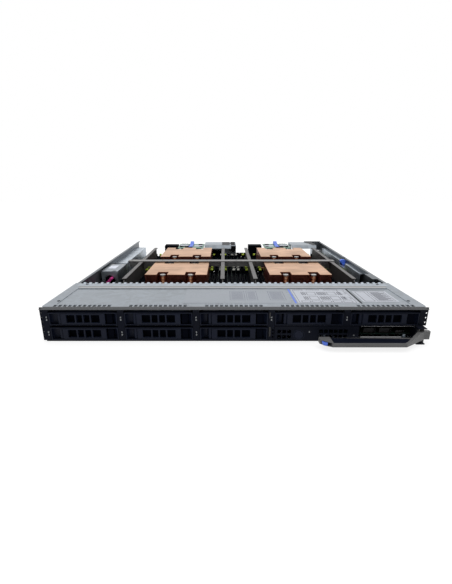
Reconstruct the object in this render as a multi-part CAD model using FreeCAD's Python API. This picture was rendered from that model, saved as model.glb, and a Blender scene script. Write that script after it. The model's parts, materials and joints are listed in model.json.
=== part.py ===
import FreeCAD, Part
import math
import os

V = FreeCAD.Vector
os.makedirs("parts", exist_ok=True)

# Sizes are in mm. X runs to the right, Y to the rear, Z up from the resting face.
# Depths (names ending in _S) are measured from the front edge of the sled.

# Sheet metal and clearances
SHEET = 1.2
THIN_SHEET = 1.0
RUN_GAP = 0.4
BUTTON_GAP = 0.3
PIN_CLEARANCE = 0.06
SEAT_GAP = 0.3

# Drives and their cage
COLUMNS = 5
LOWER_COLUMNS = 3
CARRIER_WIDTH = 76.0
CARRIER_HEIGHT = 14.8
CARRIER_FACE_S = 1.0
CARRIER_RIM = 1.1
BEZEL_DEPTH = 9.0
POCKET_DEPTH = 7.0
DISK_LENGTH = 100.2
DISK_HEIGHT = 9.5
DISK_MARGIN = 3.1
DIVIDER_WIDTH = 7.2
END_RAIL_WIDTH = 4.4
ROW_GAP = 2.8
TOP_GAP = 5.8
LEDGE_THICK = 0.8
LEDGE_REACH = 2.5
CAGE_DEPTH = 97.0
POST_SETBACK = 1.5
EAR_REACH = 3.2
EAR_HOLE_RADIUS = 0.95
EAR_HOLE_PITCH = 5.45
EAR_HOLE_ROWS = 6

# Carrier lever and its release button
LEVER_WIDTH = 49.0
LEVER_THICK = 4.0
LEVER_POST = 6.0
LEVER_BAR = 1.7
WINDOW_HEIGHT = 9.2
WINDOW_SHARE = (9.4, 6.6, 6.6, 9.4)
BARREL_RADIUS = 2.1
BARREL_OFFSET = 2.0
BUTTON_WIDTH = 6.8
BUTTON_THICK = 2.5
BUTTON_SETBACK = 2.0

# Drive bay cover
COVER_SHEET = 1.2
COVER_DEPTH = 111.0
LIP_HEIGHT = 3.4
LIP_CHAMFER = 3.0
LIP_CHAMFER_RUN = 6.5
LABEL_RECESS = 0.5
SLOTS_PER_BAY = 12
SLOT_WIDTH = 3.6
SLOT_LENGTH = 6.6
SLOT_PITCH = 5.45
SLOT_S = 1.6
FINGER_PITCH = 7.8
FINGER_GAP_WIDTH = 3.6
FINGER_LENGTH = 2.6
RAISED_STRIP = 28.5

# Backplane, light pipes and board
CONNECTOR_DEPTH = 3.5
BACKPLANE_THICK = 2.0
BACKPLANE_HEIGHT = 32.8
PIPE_WIDTH = 1.4
PIPE_HEIGHT = 1.7
PIPE_RISE = (6.2, 9.2)
STANDOFF = 3.2
STANDOFF_RADIUS = 3.0
BOARD_THICK = 2.0
BOARD_SIDE_GAP = 1.0
BOARD_FRONT_GAP = 4.0
BOARD_REAR_GAP = 10.0

# Processors and heatsinks
SOCKET_SIZE = (58.0, 50.0, 4.0)
PROCESSOR_SIZE = (52.0, 45.0, 1.6)
HEATSINK_WIDTH = 95.0
HEATSINK_DEPTH = 108.0
HEATSINK_HEIGHT = 25.2
HEATSINK_BASE = 4.0
HEATSINK_CAP = 1.2
FIN_COUNT = 21
FIN_THICK = 1.2
NOTCH_WIDTH = 16.0
NOTCH_DEPTH = 20.0
NOTCH_OFFSET = 21.5
SCREW_SHANK_RADIUS = 1.6
SCREW_HEAD_RADIUS = 3.6
SCREW_HEAD_HEIGHT = 10.0

# Memory
MEMORY_PITCH = 7.8
GROUP_SOCKETS = 3
MEMORY_LENGTH = 134.0
SOCKET_WIDTH = 6.2
SOCKET_HEIGHT = 7.0
SOCKET_SLOT = 1.6
TONGUE_HEIGHT = 1.2
LATCH_ROOM = 4.0
LATCH_WIDTH = 4.4
LATCH_HEIGHT = 11.4
LATCH_RADIUS = 1.7
LATCH_HOOK = 1.6
BANK_MARGIN = 40.4
BANK_GAP = 20.0
REAR_ZONE = 60.5
FRONT_CPU_OFFSET = 2.5
REAR_CPU_OFFSET = -2.0

# Rails and cross member
RAIL_SLOT = 1.2
RAIL_WEB = 1.2
RAIL_FLANGE = 6.0
RAIL_LEAD = 26.0
RAIL_NOSE = 14.0
CROSS_SHEET = 1.4
CROSS_WIDTH = 12.0
CROSS_DROP = 11.0
CROSS_HEADROOM = 1.0
CROSS_OVERHANG = 5.2

# Side channels
LEFT_CHANNEL = 30.55
RIGHT_CHANNEL = 9.05
WALL_FLANGE = 3.0
TOP_PLATE_S = 140.0
TOP_PLATE_DEPTH = 34.0
TOP_PLATE_WIDTH = 7.0
CHANNEL_GAP = 0.8
CARD_CAGE_DEPTH = 60.0
CARD_CAGE_HOLE = 8.0
DUCT_WIDTH = 21.0
DUCT_HEIGHT = 23.6
BRACKET_HEIGHT = 27.8
BRACKET_LEAD = 90.0
BRACKET_TAIL = 165.0
CLIP_BEHIND = 14.0
CLIP_DROP = 3.4
CLIP_ACCESS = 22.0
CLIP_SEAT = 3.0
CLIP_DEPTH = 10.0
CLIP_HEIGHT = 10.0
CLIP_PIN_RADIUS = 1.8

# Rear cards
CARD_WIDTH = 56.0
CARD_DEPTH = 62.0
CARD_RISE = 26.6
CARD_THICK = 1.6
CHIP_SIZE = 20.0
CHIP_THICK = 1.6
CHIP_SPACE = 1.5
STRAP_WIDTH = 8.0
STRAP_THICK = 1.8
STRAP_RISE = 6.0
STRAP_RAMP = 20.0
REAR_CAGE_HEIGHT = 33.2
REAR_CAGE_DEPTH = 50.0
CONNECTOR_WIDTH = 52.0
SIDE_CONNECTOR_WIDTH = 30.0
CONNECTOR_SPACE = 6.0
CONNECTOR_REACH = 26.0
CONNECTOR_HEIGHT = 15.0
SIDE_CONNECTOR_HEIGHT = 27.0
GUIDE_BORE_RADIUS = 3.6
GUIDE_BORE_DEPTH = 14.0

# Control panel and handle
PANEL_THICK = 1.6
CONTROL_WIDTH = 48.6
VENT_PANEL_WIDTH = 46.6
VENT_SQUARE = 4.4
VENT_PITCH = 5.5
POWER_RADIUS = 5.25
POWER_X = 27.4
CONTROL_BOARD_S = 12.0
CONTROL_BOARD_WIDTH = 104.4
CONTROL_BOARD_DEPTH = 80.0
CONTROL_BOARD_INSET = 6.0
CHEEK_S = 4.0
CHEEK_DEPTH = 36.0
TAG_THICK = 1.8
TAG_HEIGHT = 11.0
TAG_LENGTH = 62.0
HANDLE_BOTTOM = 5.2
HANDLE_TALL = 9.6
HANDLE_LOW = 4.0
HANDLE_SPAN = 117.0
HANDLE_REACH = 29.5
HANDLE_PLATE = 1.4
BLOCK_WIDTH = 12.4
BLOCK_TALL = 5.4
PIVOT_INSET = 1.3
PIVOT_FORWARD = 3.0
PIVOT_RADIUS = 4.4
PIVOT_PIN_RADIUS = 2.0

# Widths: the body is as wide as the wider of the drive row and the board row
CARRIER_BAY = CARRIER_WIDTH + 2 * RUN_GAP
COLUMN_PITCH = CARRIER_BAY + DIVIDER_WIDTH
DRIVE_SPAN = COLUMNS * COLUMN_PITCH - DIVIDER_WIDTH
BANK_WIDTH = 2 * GROUP_SOCKETS * MEMORY_PITCH + RAIL_SLOT
BOARD_SPAN = 4 * BANK_WIDTH + 2 * HEATSINK_WIDTH
INNER_WIDTH = max(DRIVE_SPAN + 2 * END_RAIL_WIDTH, BOARD_SPAN + LEFT_CHANNEL + RIGHT_CHANNEL)
WALL_IN = INNER_WIDTH / 2
WALL_OUT = WALL_IN + SHEET
EAR_OUT = WALL_OUT + EAR_REACH
END_RAIL = (INNER_WIDTH - DRIVE_SPAN) / 2
BOARD_X = (LEFT_CHANNEL - RIGHT_CHANNEL) / 2
CPU_X = (BOARD_X - BANK_WIDTH - HEATSINK_WIDTH / 2, BOARD_X + BANK_WIDTH + HEATSINK_WIDTH / 2)
BANK_LEFT = BOARD_X - BOARD_SPAN / 2
BANK_RIGHT = BOARD_X + BOARD_SPAN / 2

# Depths
DISK_S = CARRIER_FACE_S + BEZEL_DEPTH
BACKPLANE_S = DISK_S + DISK_LENGTH + RUN_GAP + CONNECTOR_DEPTH
BOARD_S = BACKPLANE_S + BACKPLANE_THICK + BOARD_FRONT_GAP
BANK_DEPTH = MEMORY_LENGTH + 2 * LATCH_ROOM
FRONT_BANK_S = BOARD_S + BANK_MARGIN
REAR_BANK_S = FRONT_BANK_S + BANK_DEPTH + BANK_GAP
BODY_DEPTH = REAR_BANK_S + BANK_DEPTH + REAR_ZONE
CPU_S = (FRONT_BANK_S + BANK_DEPTH / 2 + FRONT_CPU_OFFSET, REAR_BANK_S + BANK_DEPTH / 2 + REAR_CPU_OFFSET)
CROSS_WEB_S = CPU_S[0] + HEATSINK_DEPTH / 2 + 2.5
FRONT_Y = -BODY_DEPTH / 2

# Heights: the body is as tall as the taller of the two drive rows and the heatsinks
BOARD_BOTTOM = SHEET + STANDOFF
BOARD_TOP = BOARD_BOTTOM + BOARD_THICK
PROCESSOR_TOP = BOARD_TOP + SOCKET_SIZE[2] + PROCESSOR_SIZE[2]
HEATSINK_TOP = PROCESSOR_TOP + HEATSINK_HEIGHT
CAGE_TOP = HEATSINK_TOP - 1.2
RAIL_TOP = HEATSINK_TOP + CROSS_HEADROOM
CROSS_BOTTOM = HEATSINK_TOP + CROSS_HEADROOM
CROSS_TOP = CROSS_BOTTOM + CROSS_SHEET
ROW_PITCH = CARRIER_HEIGHT + ROW_GAP
DRIVE_TOP = SHEET + RUN_GAP + ROW_PITCH + CARRIER_HEIGHT + TOP_GAP
COVER_UNDER = max(DRIVE_TOP, CROSS_TOP + 0.2)
BODY_HEIGHT = COVER_UNDER + COVER_SHEET
LIP_BOTTOM = BODY_HEIGHT - LIP_HEIGHT
LEDGE_TOP = SHEET + ROW_PITCH
LEDGE_BOTTOM = LEDGE_TOP - LEDGE_THICK


def at_depth(s):
    return FRONT_Y + s


def box(x0, x1, s0, s1, z0, z1):
    return Part.makeBox(x1 - x0, s1 - s0, z1 - z0, V(x0, at_depth(s0), z0))


def face_of(points):
    return Part.Face(Part.makePolygon(list(points) + [points[0]]))


def plan(points, z0, z1):
    """Extrude an outline of (x, s) points from z0 up to z1."""
    return face_of([V(x, at_depth(s), z0) for x, s in points]).extrude(V(0, 0, z1 - z0))


def front_section(points, s0, s1):
    """Extrude an outline of (x, z) points from depth s0 back to s1."""
    return face_of([V(x, at_depth(s0), z) for x, z in points]).extrude(V(0, s1 - s0, 0))


def side_section(points, x0, x1):
    """Extrude an outline of (s, z) points from x0 to x1."""
    return face_of([V(x0, at_depth(s), z) for s, z in points]).extrude(V(x1 - x0, 0, 0))


def upright(x, s, z0, z1, radius):
    return Part.makeCylinder(radius, z1 - z0, V(x, at_depth(s), z0))


def along_x(x0, x1, s, z, radius):
    return Part.makeCylinder(radius, x1 - x0, V(x0, at_depth(s), z), V(1, 0, 0))


def along_y(x, s0, s1, z, radius):
    return Part.makeCylinder(radius, s1 - s0, V(x, at_depth(s0), z), V(0, 1, 0))


def hexagon(x, s, z0, z1, radius):
    corners = [math.radians(60 * k) for k in range(6)]
    return plan([(x + radius * math.cos(a), s + radius * math.sin(a)) for a in corners], z0, z1)


def join(first, *others):
    return first.fuse(list(others)).removeSplitter()


def save(name, *solids):
    shape = solids[0] if len(solids) == 1 else Part.makeCompound(list(solids))
    shape.exportStep("parts/" + name + ".step")


def column_x(column):
    return (column - (COLUMNS - 1) / 2) * COLUMN_PITCH


def row_z(row):
    return SHEET + RUN_GAP + row * ROW_PITCH


def divider_x(index):
    """Centre of the post to the left of a column; 0 is the left end rail."""
    if index == 0:
        return -DRIVE_SPAN / 2 - END_RAIL / 2
    return column_x(index) - COLUMN_PITCH / 2


def drive_places():
    upper = [(column, 1) for column in range(COLUMNS)]
    lower = [(column, 0) for column in range(LOWER_COLUMNS)]
    return upper + lower


# Chassis floor with its standoffs, and the side walls
def standoff_places():
    rows = [BOARD_S + 8, CPU_S[0] - 68, CPU_S[0] + 78, BODY_DEPTH - BOARD_REAR_GAP - 8]
    return [(x, s) for x in (-WALL_IN + 12, BOARD_X, WALL_IN - 8) for s in rows]


def control_board_box():
    x1 = WALL_IN - CONTROL_BOARD_INSET
    return x1 - CONTROL_BOARD_WIDTH, x1, CONTROL_BOARD_S, CONTROL_BOARD_S + CONTROL_BOARD_DEPTH


def chassis_floor():
    x0, x1, s0, s1 = control_board_box()
    floor = box(-WALL_OUT, WALL_OUT, POST_SETBACK, BODY_DEPTH, 0, SHEET)
    rear_lip = box(-WALL_IN, WALL_IN, BODY_DEPTH - SHEET, BODY_DEPTH, SHEET, BOARD_BOTTOM)
    tongue = box(pivot_x() - 7, WALL_OUT, -PIVOT_FORWARD - 6, POST_SETBACK, 0, SHEET)
    corners = [(x, s) for x in (x0 + 5, x1 - 5) for s in (s0 + 5, s1 - 5)]
    posts = [upright(x, s, SHEET, BOARD_BOTTOM, STANDOFF_RADIUS) for x, s in standoff_places() + corners]
    return join(floor, rear_lip, tongue, *posts)


def side_wall(side):
    front = POST_SETBACK + SHEET
    profile = [
        (side * WALL_OUT, SHEET),
        (side * WALL_OUT, COVER_UNDER),
        (side * (WALL_IN - WALL_FLANGE), COVER_UNDER),
        (side * (WALL_IN - WALL_FLANGE), COVER_UNDER - SHEET),
        (side * WALL_IN, COVER_UNDER - SHEET),
        (side * WALL_IN, SHEET),
    ]
    wall = front_section(profile, front, BODY_DEPTH)
    if side > 0:
        handle_relief = box(WALL_IN - 5, WALL_OUT + 1, front - 1, 16.0, 0, LEDGE_BOTTOM)
        edge = WALL_IN - WALL_FLANGE
        plate = box(edge - TOP_PLATE_WIDTH, edge, TOP_PLATE_S, TOP_PLATE_S + TOP_PLATE_DEPTH,
                    COVER_UNDER - SHEET, COVER_UNDER)
        c0, c1, cs0, cs1, cz0, cz1 = clip_box()
        clip_relief = box(edge - 1, WALL_IN, cs0 - RUN_GAP, cs1 + RUN_GAP,
                          COVER_UNDER - SHEET - 1, COVER_UNDER + 1)
        wall = join(wall.cut([handle_relief, clip_relief]), plate)
    return wall


# Drive cage: hollow dividers with a ledge for the upper row, end rails with ears, and a shelf
def post_section(x, half, z0, z1, ledge_left, ledge_right):
    right = [(x + half, z0)]
    if ledge_right:
        edge = x + half + LEDGE_REACH
        right += [(x + half, LEDGE_BOTTOM), (edge, LEDGE_BOTTOM), (edge, LEDGE_TOP), (x + half, LEDGE_TOP)]
    left = []
    if ledge_left:
        edge = x - half - LEDGE_REACH
        left += [(x - half, LEDGE_TOP), (edge, LEDGE_TOP), (edge, LEDGE_BOTTOM), (x - half, LEDGE_BOTTOM)]
    return right + [(x + half, z1), (x - half, z1)] + left + [(x - half, z0)]


def pipe_holes(column):
    x = divider_x(column)
    rows = [row for place, row in drive_places() if place == column]
    holes = []
    for row in rows:
        for rise in PIPE_RISE:
            z = row_z(row) + rise
            half_w = PIPE_WIDTH / 2 + 0.2
            half_h = PIPE_HEIGHT / 2 + 0.2
            holes.append(box(x - half_w, x + half_w, 0, 6, z - half_h, z + half_h))
    return holes


def hollow_post(x, half, z0, z1, ledge_left, ledge_right):
    post = front_section(post_section(x, half, z0, z1, ledge_left, ledge_right), POST_SETBACK, CAGE_DEPTH)
    inside = box(x - half + THIN_SHEET, x + half - THIN_SHEET, POST_SETBACK + SHEET, CAGE_DEPTH + 1,
                 z0 + THIN_SHEET, z1 - THIN_SHEET)
    return post.cut(inside)


def ear(side, z0):
    inner = DRIVE_SPAN / 2
    plate = box(min(side * inner, side * EAR_OUT), max(side * inner, side * EAR_OUT),
                POST_SETBACK, POST_SETBACK + SHEET, z0, COVER_UNDER)
    x = side * (WALL_OUT + EAR_REACH / 2)
    tops = [BODY_HEIGHT - 7.6 - row * EAR_HOLE_PITCH for row in range(EAR_HOLE_ROWS)]
    holes = [along_y(x, 0, 6, z, EAR_HOLE_RADIUS) for z in tops if z > z0 + 2]
    return plate, holes


def drive_cage():
    pieces = []
    rail_top = COVER_UNDER - SHEET
    left_plate, left_holes = ear(-1, SHEET)
    left_rail = hollow_post(divider_x(0), END_RAIL / 2, SHEET, rail_top, False, True)
    pieces.append(join(left_rail, left_plate).cut(left_holes + pipe_holes(0)))
    for index in range(1, LOWER_COLUMNS + 1):
        last = index == LOWER_COLUMNS
        post = hollow_post(divider_x(index), DIVIDER_WIDTH / 2, SHEET, COVER_UNDER, True, not last)
        cuts = pipe_holes(index)
        if last:
            tag_x, tag_z = tag_place()
            cuts.append(box(tag_x - TAG_THICK / 2 - BUTTON_GAP, tag_x + TAG_THICK / 2 + BUTTON_GAP, 0, 6,
                            tag_z - BUTTON_GAP, tag_z + TAG_HEIGHT + BUTTON_GAP))
            cuts += [box(divider_x(index) + 1.2, divider_x(index) + 2.9, 0, 6, z, z + 2.4) for z in (4, 8, 12)]
        pieces.append(post.cut(cuts))
    for index in range(LOWER_COLUMNS + 1, COLUMNS):
        post = hollow_post(divider_x(index), DIVIDER_WIDTH / 2, LEDGE_TOP, COVER_UNDER, False, False)
        pieces.append(post.cut(pipe_holes(index)))
    right_plate, right_holes = ear(1, LEDGE_TOP)
    right_rail = hollow_post(-divider_x(0), END_RAIL / 2, LEDGE_TOP, rail_top, False, False)
    pieces.append(join(right_rail, right_plate).cut(right_holes))
    shelf_left = divider_x(LOWER_COLUMNS) + DIVIDER_WIDTH / 2
    shelf = box(shelf_left, WALL_IN, POST_SETBACK, CAGE_DEPTH, LEDGE_BOTTOM, LEDGE_TOP)
    pin_tab = box(pivot_x() - 7, WALL_OUT, -PIVOT_FORWARD - 6, POST_SETBACK + SHEET, LEDGE_BOTTOM, LEDGE_TOP)
    cheek_x = WALL_IN - CONTROL_BOARD_INSET + RUN_GAP
    cheek = box(cheek_x, cheek_x + SHEET, CHEEK_S, CHEEK_S + CHEEK_DEPTH, SHEET, LEDGE_BOTTOM)
    pieces.append(join(shelf, pin_tab, cheek))
    return pieces


# Drive bay cover: slotted sheet with a chamfered front lip, a label recess and spring fingers behind
def drive_bay_cover():
    shoulder = EAR_OUT - LIP_CHAMFER_RUN
    corner = WALL_OUT - shoulder
    top = plan([(-WALL_OUT, corner), (-shoulder, 0), (shoulder, 0), (WALL_OUT, corner), (WALL_OUT, COVER_DEPTH),
                (-WALL_OUT, COVER_DEPTH)], COVER_UNDER, BODY_HEIGHT)
    lip_outline = [
        (-EAR_OUT, LIP_BOTTOM),
        (EAR_OUT, LIP_BOTTOM),
        (EAR_OUT, BODY_HEIGHT - LIP_CHAMFER),
        (shoulder, BODY_HEIGHT),
        (-shoulder, BODY_HEIGHT),
        (-EAR_OUT, BODY_HEIGHT - LIP_CHAMFER),
    ]
    lip = front_section(lip_outline, 0, SHEET)
    cuts = []
    for column in range(COLUMNS):
        for k in range(SLOTS_PER_BAY):
            x = column_x(column) + (k - (SLOTS_PER_BAY - 1) / 2) * SLOT_PITCH
            cuts.append(box(x - SLOT_WIDTH / 2, x + SLOT_WIDTH / 2, SLOT_S, SLOT_S + SLOT_LENGTH,
                            COVER_UNDER - 1, BODY_HEIGHT + 1))
    recess_x = WALL_OUT - 13
    recess_rear = COVER_DEPTH - RAISED_STRIP
    cuts.append(box(-recess_x, recess_x, SLOT_S + SLOT_LENGTH + 4, recess_rear,
                    BODY_HEIGHT - LABEL_RECESS, BODY_HEIGHT + 1))
    gaps = int((2 * WALL_OUT - FINGER_PITCH) / FINGER_PITCH)
    for k in range(gaps):
        x = (k - (gaps - 1) / 2) * FINGER_PITCH
        cuts.append(box(x - FINGER_GAP_WIDTH / 2, x + FINGER_GAP_WIDTH / 2, COVER_DEPTH - FINGER_LENGTH,
                        COVER_DEPTH + 1, COVER_UNDER - 1, BODY_HEIGHT + 1))
    return join(top, lip).cut(cuts)


# Hot-plug drives
def carrier(column, row):
    x = column_x(column)
    z = row_z(row)
    half = CARRIER_WIDTH / 2
    back = CARRIER_FACE_S + BEZEL_DEPTH
    bezel = box(x - half, x + half, CARRIER_FACE_S, back, z, z + CARRIER_HEIGHT)
    pocket_half = half - CARRIER_RIM
    pocket = box(x - pocket_half + POCKET_DEPTH, x + pocket_half - POCKET_DEPTH, CARRIER_FACE_S - 1,
                 CARRIER_FACE_S + POCKET_DEPTH, z + CARRIER_RIM, z + CARRIER_HEIGHT - CARRIER_RIM)
    scoops = [upright(x + side * (pocket_half - POCKET_DEPTH), CARRIER_FACE_S, z + CARRIER_RIM,
                      z + CARRIER_HEIGHT - CARRIER_RIM, POCKET_DEPTH) for side in (-1, 1)]
    disk_half = half - DISK_MARGIN
    arms = []
    for side in (-1, 1):
        edges = sorted((x + side * half, x + side * (disk_half + SEAT_GAP)))
        arms.append(box(edges[0], edges[1], back, back + DISK_LENGTH - 12, z, z + DISK_HEIGHT + 1.5))
    frame = join(bezel.cut([pocket] + scoops), *arms)
    disk = box(x - disk_half, x + disk_half, back, back + DISK_LENGTH, z + 1.0, z + 1.0 + DISK_HEIGHT)
    return frame, disk


def lever_pivot(column):
    return column_x(column) - LEVER_WIDTH / 2 - BARREL_OFFSET, CARRIER_FACE_S + LEVER_THICK - 1.0


def drive_lever(column, row):
    x = column_x(column)
    low = row_z(row) + CARRIER_RIM + BUTTON_GAP
    high = row_z(row) + CARRIER_HEIGHT - CARRIER_RIM - BUTTON_GAP
    pivot = lever_pivot(column)
    plate = box(x - LEVER_WIDTH / 2, x + LEVER_WIDTH / 2,
                CARRIER_FACE_S, CARRIER_FACE_S + LEVER_THICK, low, high)
    knuckle = box(pivot[0], x - LEVER_WIDTH / 2, pivot[1] - 1.4, CARRIER_FACE_S + LEVER_THICK, low, high)
    barrel = upright(pivot[0], pivot[1], low, high, BARREL_RADIUS)
    room = LEVER_WIDTH - 2 * LEVER_POST - LEVER_BAR * (len(WINDOW_SHARE) - 1)
    middle = (low + high) / 2
    edge = x - LEVER_WIDTH / 2 + LEVER_POST
    windows = []
    for share in WINDOW_SHARE:
        width = room * share / sum(WINDOW_SHARE)
        windows.append(box(edge, edge + width, CARRIER_FACE_S - 1, CARRIER_FACE_S + LEVER_THICK + 1,
                           middle - WINDOW_HEIGHT / 2, middle + WINDOW_HEIGHT / 2))
        edge += width + LEVER_BAR
    return join(plate, knuckle, barrel).cut(windows)


def drive_button(column, row):
    x0 = column_x(column) + LEVER_WIDTH / 2 + 1.2
    low = row_z(row) + CARRIER_RIM + BUTTON_GAP
    high = row_z(row) + CARRIER_HEIGHT - CARRIER_RIM - BUTTON_GAP
    front = CARRIER_FACE_S + BUTTON_SETBACK
    outline = [
        (x0, front),
        (x0 + BUTTON_WIDTH, front),
        (x0 + BUTTON_WIDTH, front + BUTTON_THICK - 1.0),
        (x0 + BUTTON_WIDTH - 1.0, front + BUTTON_THICK),
        (x0, front + BUTTON_THICK),
    ]
    return plan(outline, low, high)


# Backplane with one connector for each drive, and the light pipes in front of it
def drive_backplane():
    half = WALL_IN - BOARD_SIDE_GAP
    sheet = box(-half, half, BACKPLANE_S, BACKPLANE_S + BACKPLANE_THICK, SHEET, SHEET + BACKPLANE_HEIGHT)
    blocks = []
    for column, row in drive_places():
        x = column_x(column)
        z = row_z(row) + 1.0 + DISK_HEIGHT / 2
        blocks.append(box(x - 17, x + 17, BACKPLANE_S - CONNECTOR_DEPTH, BACKPLANE_S, z - 2.6, z + 2.6))
    return [sheet] + blocks


def light_pipes():
    bars = []
    for column, row in drive_places():
        x = divider_x(column)
        for rise in PIPE_RISE:
            z = row_z(row) + rise
            bars.append(box(x - PIPE_WIDTH / 2, x + PIPE_WIDTH / 2, POST_SETBACK - 0.2, BACKPLANE_S,
                            z - PIPE_HEIGHT / 2, z + PIPE_HEIGHT / 2))
    return bars


# System board, processors and heatsinks
def system_board():
    half = WALL_IN - BOARD_SIDE_GAP
    rear = BODY_DEPTH - BOARD_REAR_GAP
    outline = [
        (-half, BOARD_S),
        (half - 22, BOARD_S),
        (half - 22, BOARD_S + 6),
        (half, BOARD_S + 6),
        (half, rear),
        (-half, rear),
    ]
    return plan(outline, BOARD_BOTTOM, BOARD_TOP)


def cpu_places():
    return [(x, s) for s in CPU_S for x in CPU_X]


def centred_box(x, s, size, z0):
    return box(x - size[0] / 2, x + size[0] / 2, s - size[1] / 2, s + size[1] / 2, z0, z0 + size[2])


def processors():
    solids = []
    for x, s in cpu_places():
        solids.append(centred_box(x, s, SOCKET_SIZE, BOARD_TOP))
        solids.append(centred_box(x, s, PROCESSOR_SIZE, BOARD_TOP + SOCKET_SIZE[2]))
    return solids


def screw_places(x, s):
    reach = HEATSINK_DEPTH / 2 - NOTCH_DEPTH / 2
    return [(x + i * NOTCH_OFFSET, s + j * reach, j) for i in (-1, 1) for j in (-1, 1)]


def heatsink(x, s):
    """Finned block: air channels run front to back under a closed cap, notched for its four screws."""
    half_w = HEATSINK_WIDTH / 2
    half_d = HEATSINK_DEPTH / 2
    base_top = PROCESSOR_TOP + HEATSINK_BASE
    block = box(x - half_w, x + half_w, s - half_d, s + half_d, PROCESSOR_TOP, HEATSINK_TOP)
    pitch = (HEATSINK_WIDTH - FIN_THICK) / (FIN_COUNT - 1)
    cuts = []
    for k in range(FIN_COUNT - 1):
        left = x - half_w + k * pitch + FIN_THICK
        cuts.append(box(left, left + pitch - FIN_THICK, s - half_d - 1, s + half_d + 1,
                        base_top, HEATSINK_TOP - HEATSINK_CAP))
    slot = SCREW_SHANK_RADIUS + 0.4
    for px, ps, end in screw_places(x, s):
        edge = s + end * (half_d + 1)
        notch_end = s + end * (half_d - NOTCH_DEPTH)
        cuts.append(box(px - NOTCH_WIDTH / 2, px + NOTCH_WIDTH / 2, min(edge, notch_end), max(edge, notch_end),
                        base_top, HEATSINK_TOP + 1))
        inner = ps - end * slot
        cuts.append(box(px - slot, px + slot, min(edge, inner), max(edge, inner), PROCESSOR_TOP - 1, base_top))
    return block.cut(cuts)


def heatsink_screw(x, s):
    base_top = PROCESSOR_TOP + HEATSINK_BASE
    shank = hexagon(x, s, BOARD_TOP, base_top, SCREW_SHANK_RADIUS)
    head = hexagon(x, s, base_top, base_top + SCREW_HEAD_HEIGHT, SCREW_HEAD_RADIUS)
    return join(shank, head)


# Memory sockets and their end latches
def bank_edges():
    """Edge next to a heatsink and outward direction of each of the four banks in a row."""
    edges = []
    for x in CPU_X:
        edges.append((x - HEATSINK_WIDTH / 2, -1))
        edges.append((x + HEATSINK_WIDTH / 2, 1))
    return edges


def socket_columns():
    columns = []
    for edge, way in bank_edges():
        for k in range(2 * GROUP_SOCKETS):
            step = (k + 0.5) * MEMORY_PITCH + (RAIL_SLOT if k >= GROUP_SOCKETS else 0)
            columns.append(edge + way * step)
    return columns


def rail_columns():
    return [edge + way * (GROUP_SOCKETS * MEMORY_PITCH + RAIL_SLOT / 2) for edge, way in bank_edges()]


def memory_socket(x, bank_s):
    front = bank_s
    rear = bank_s + BANK_DEPTH
    tongue = BOARD_TOP + TONGUE_HEIGHT
    top = BOARD_TOP + SOCKET_HEIGHT
    profile = [
        (front, BOARD_TOP),
        (rear, BOARD_TOP),
        (rear, tongue),
        (rear - LATCH_ROOM, tongue),
        (rear - LATCH_ROOM, top),
        (front + LATCH_ROOM, top),
        (front + LATCH_ROOM, tongue),
        (front, tongue),
    ]
    body = side_section(profile, x - SOCKET_WIDTH / 2, x + SOCKET_WIDTH / 2)
    slot = box(x - SOCKET_SLOT / 2, x + SOCKET_SLOT / 2, front + LATCH_ROOM - 1, rear - LATCH_ROOM + 1,
               top - 4.5, top + 1)
    return body.cut(slot)


def latch_axis(bank_s, end):
    """Depth and height of the hinge line of a row of latches; end is -1 in front and 1 behind."""
    middle = bank_s + BANK_DEPTH / 2
    s = middle + end * (BANK_DEPTH / 2 - LATCH_ROOM + SEAT_GAP + LATCH_RADIUS)
    return s, BOARD_TOP + TONGUE_HEIGHT + SEAT_GAP + LATCH_RADIUS


def memory_latch(x, bank_s, end):
    s, z = latch_axis(bank_s, end)
    left = x - LATCH_WIDTH / 2
    r = LATCH_RADIUS
    inner = s - end * r
    outer = s + end * r
    hook = outer + end * LATCH_HOOK

    def spot(depth, height):
        return V(left, at_depth(depth), height)

    arc = Part.Arc(spot(outer, z), spot(s, z - r), spot(inner, z)).toShape()
    line = Part.makePolygon([spot(inner, z), spot(inner, z + LATCH_HEIGHT), spot(hook, z + LATCH_HEIGHT),
                             spot(outer, z + LATCH_HEIGHT - 4), spot(outer, z)])
    outline = Part.Wire([arc] + line.Edges)
    return Part.Face(outline).extrude(V(LATCH_WIDTH, 0, 0))


def latch_row(bank_s, end):
    return [memory_latch(x, bank_s, end) for x in socket_columns()]


# Air rails between the memory groups, and the cross member above the board
def rail_piece(x, s0, s1, nose):
    under = RAIL_TOP - CROSS_SHEET
    web = side_section([(s0, BOARD_TOP), (s1, BOARD_TOP), (s1, under), (s0 + nose, under), (s0, under - nose)],
                       x - RAIL_WEB / 2, x + RAIL_WEB / 2)
    flange = box(x - RAIL_FLANGE / 2, x + RAIL_FLANGE / 2, s0 + nose, s1, under, RAIL_TOP)
    return join(web, flange)


def air_rails():
    pieces = []
    for x in rail_columns():
        pieces.append(rail_piece(x, FRONT_BANK_S - RAIL_LEAD, CROSS_WEB_S - 0.5, RAIL_NOSE))
        pieces.append(rail_piece(x, CROSS_WEB_S + CROSS_SHEET + 0.5,
                                 REAR_BANK_S + BANK_DEPTH - RAIL_LEAD, 0.01))
    return pieces


def cross_member():
    x0 = BANK_LEFT
    x1 = max(rail_columns()) + CROSS_OVERHANG
    flange = box(x0, x1, CROSS_WEB_S - CROSS_WIDTH, CROSS_WEB_S + CROSS_SHEET, CROSS_BOTTOM, CROSS_TOP)
    web = box(x0, x1, CROSS_WEB_S, CROSS_WEB_S + CROSS_SHEET, CROSS_BOTTOM - CROSS_DROP, CROSS_BOTTOM)
    return join(flange, web)


# Side channels
def card_cage_box():
    s1 = CROSS_WEB_S - CROSS_WIDTH - 9.0
    return (-WALL_IN + WALL_FLANGE + 0.2, BANK_LEFT - CHANNEL_GAP, s1 - CARD_CAGE_DEPTH, s1)


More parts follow.
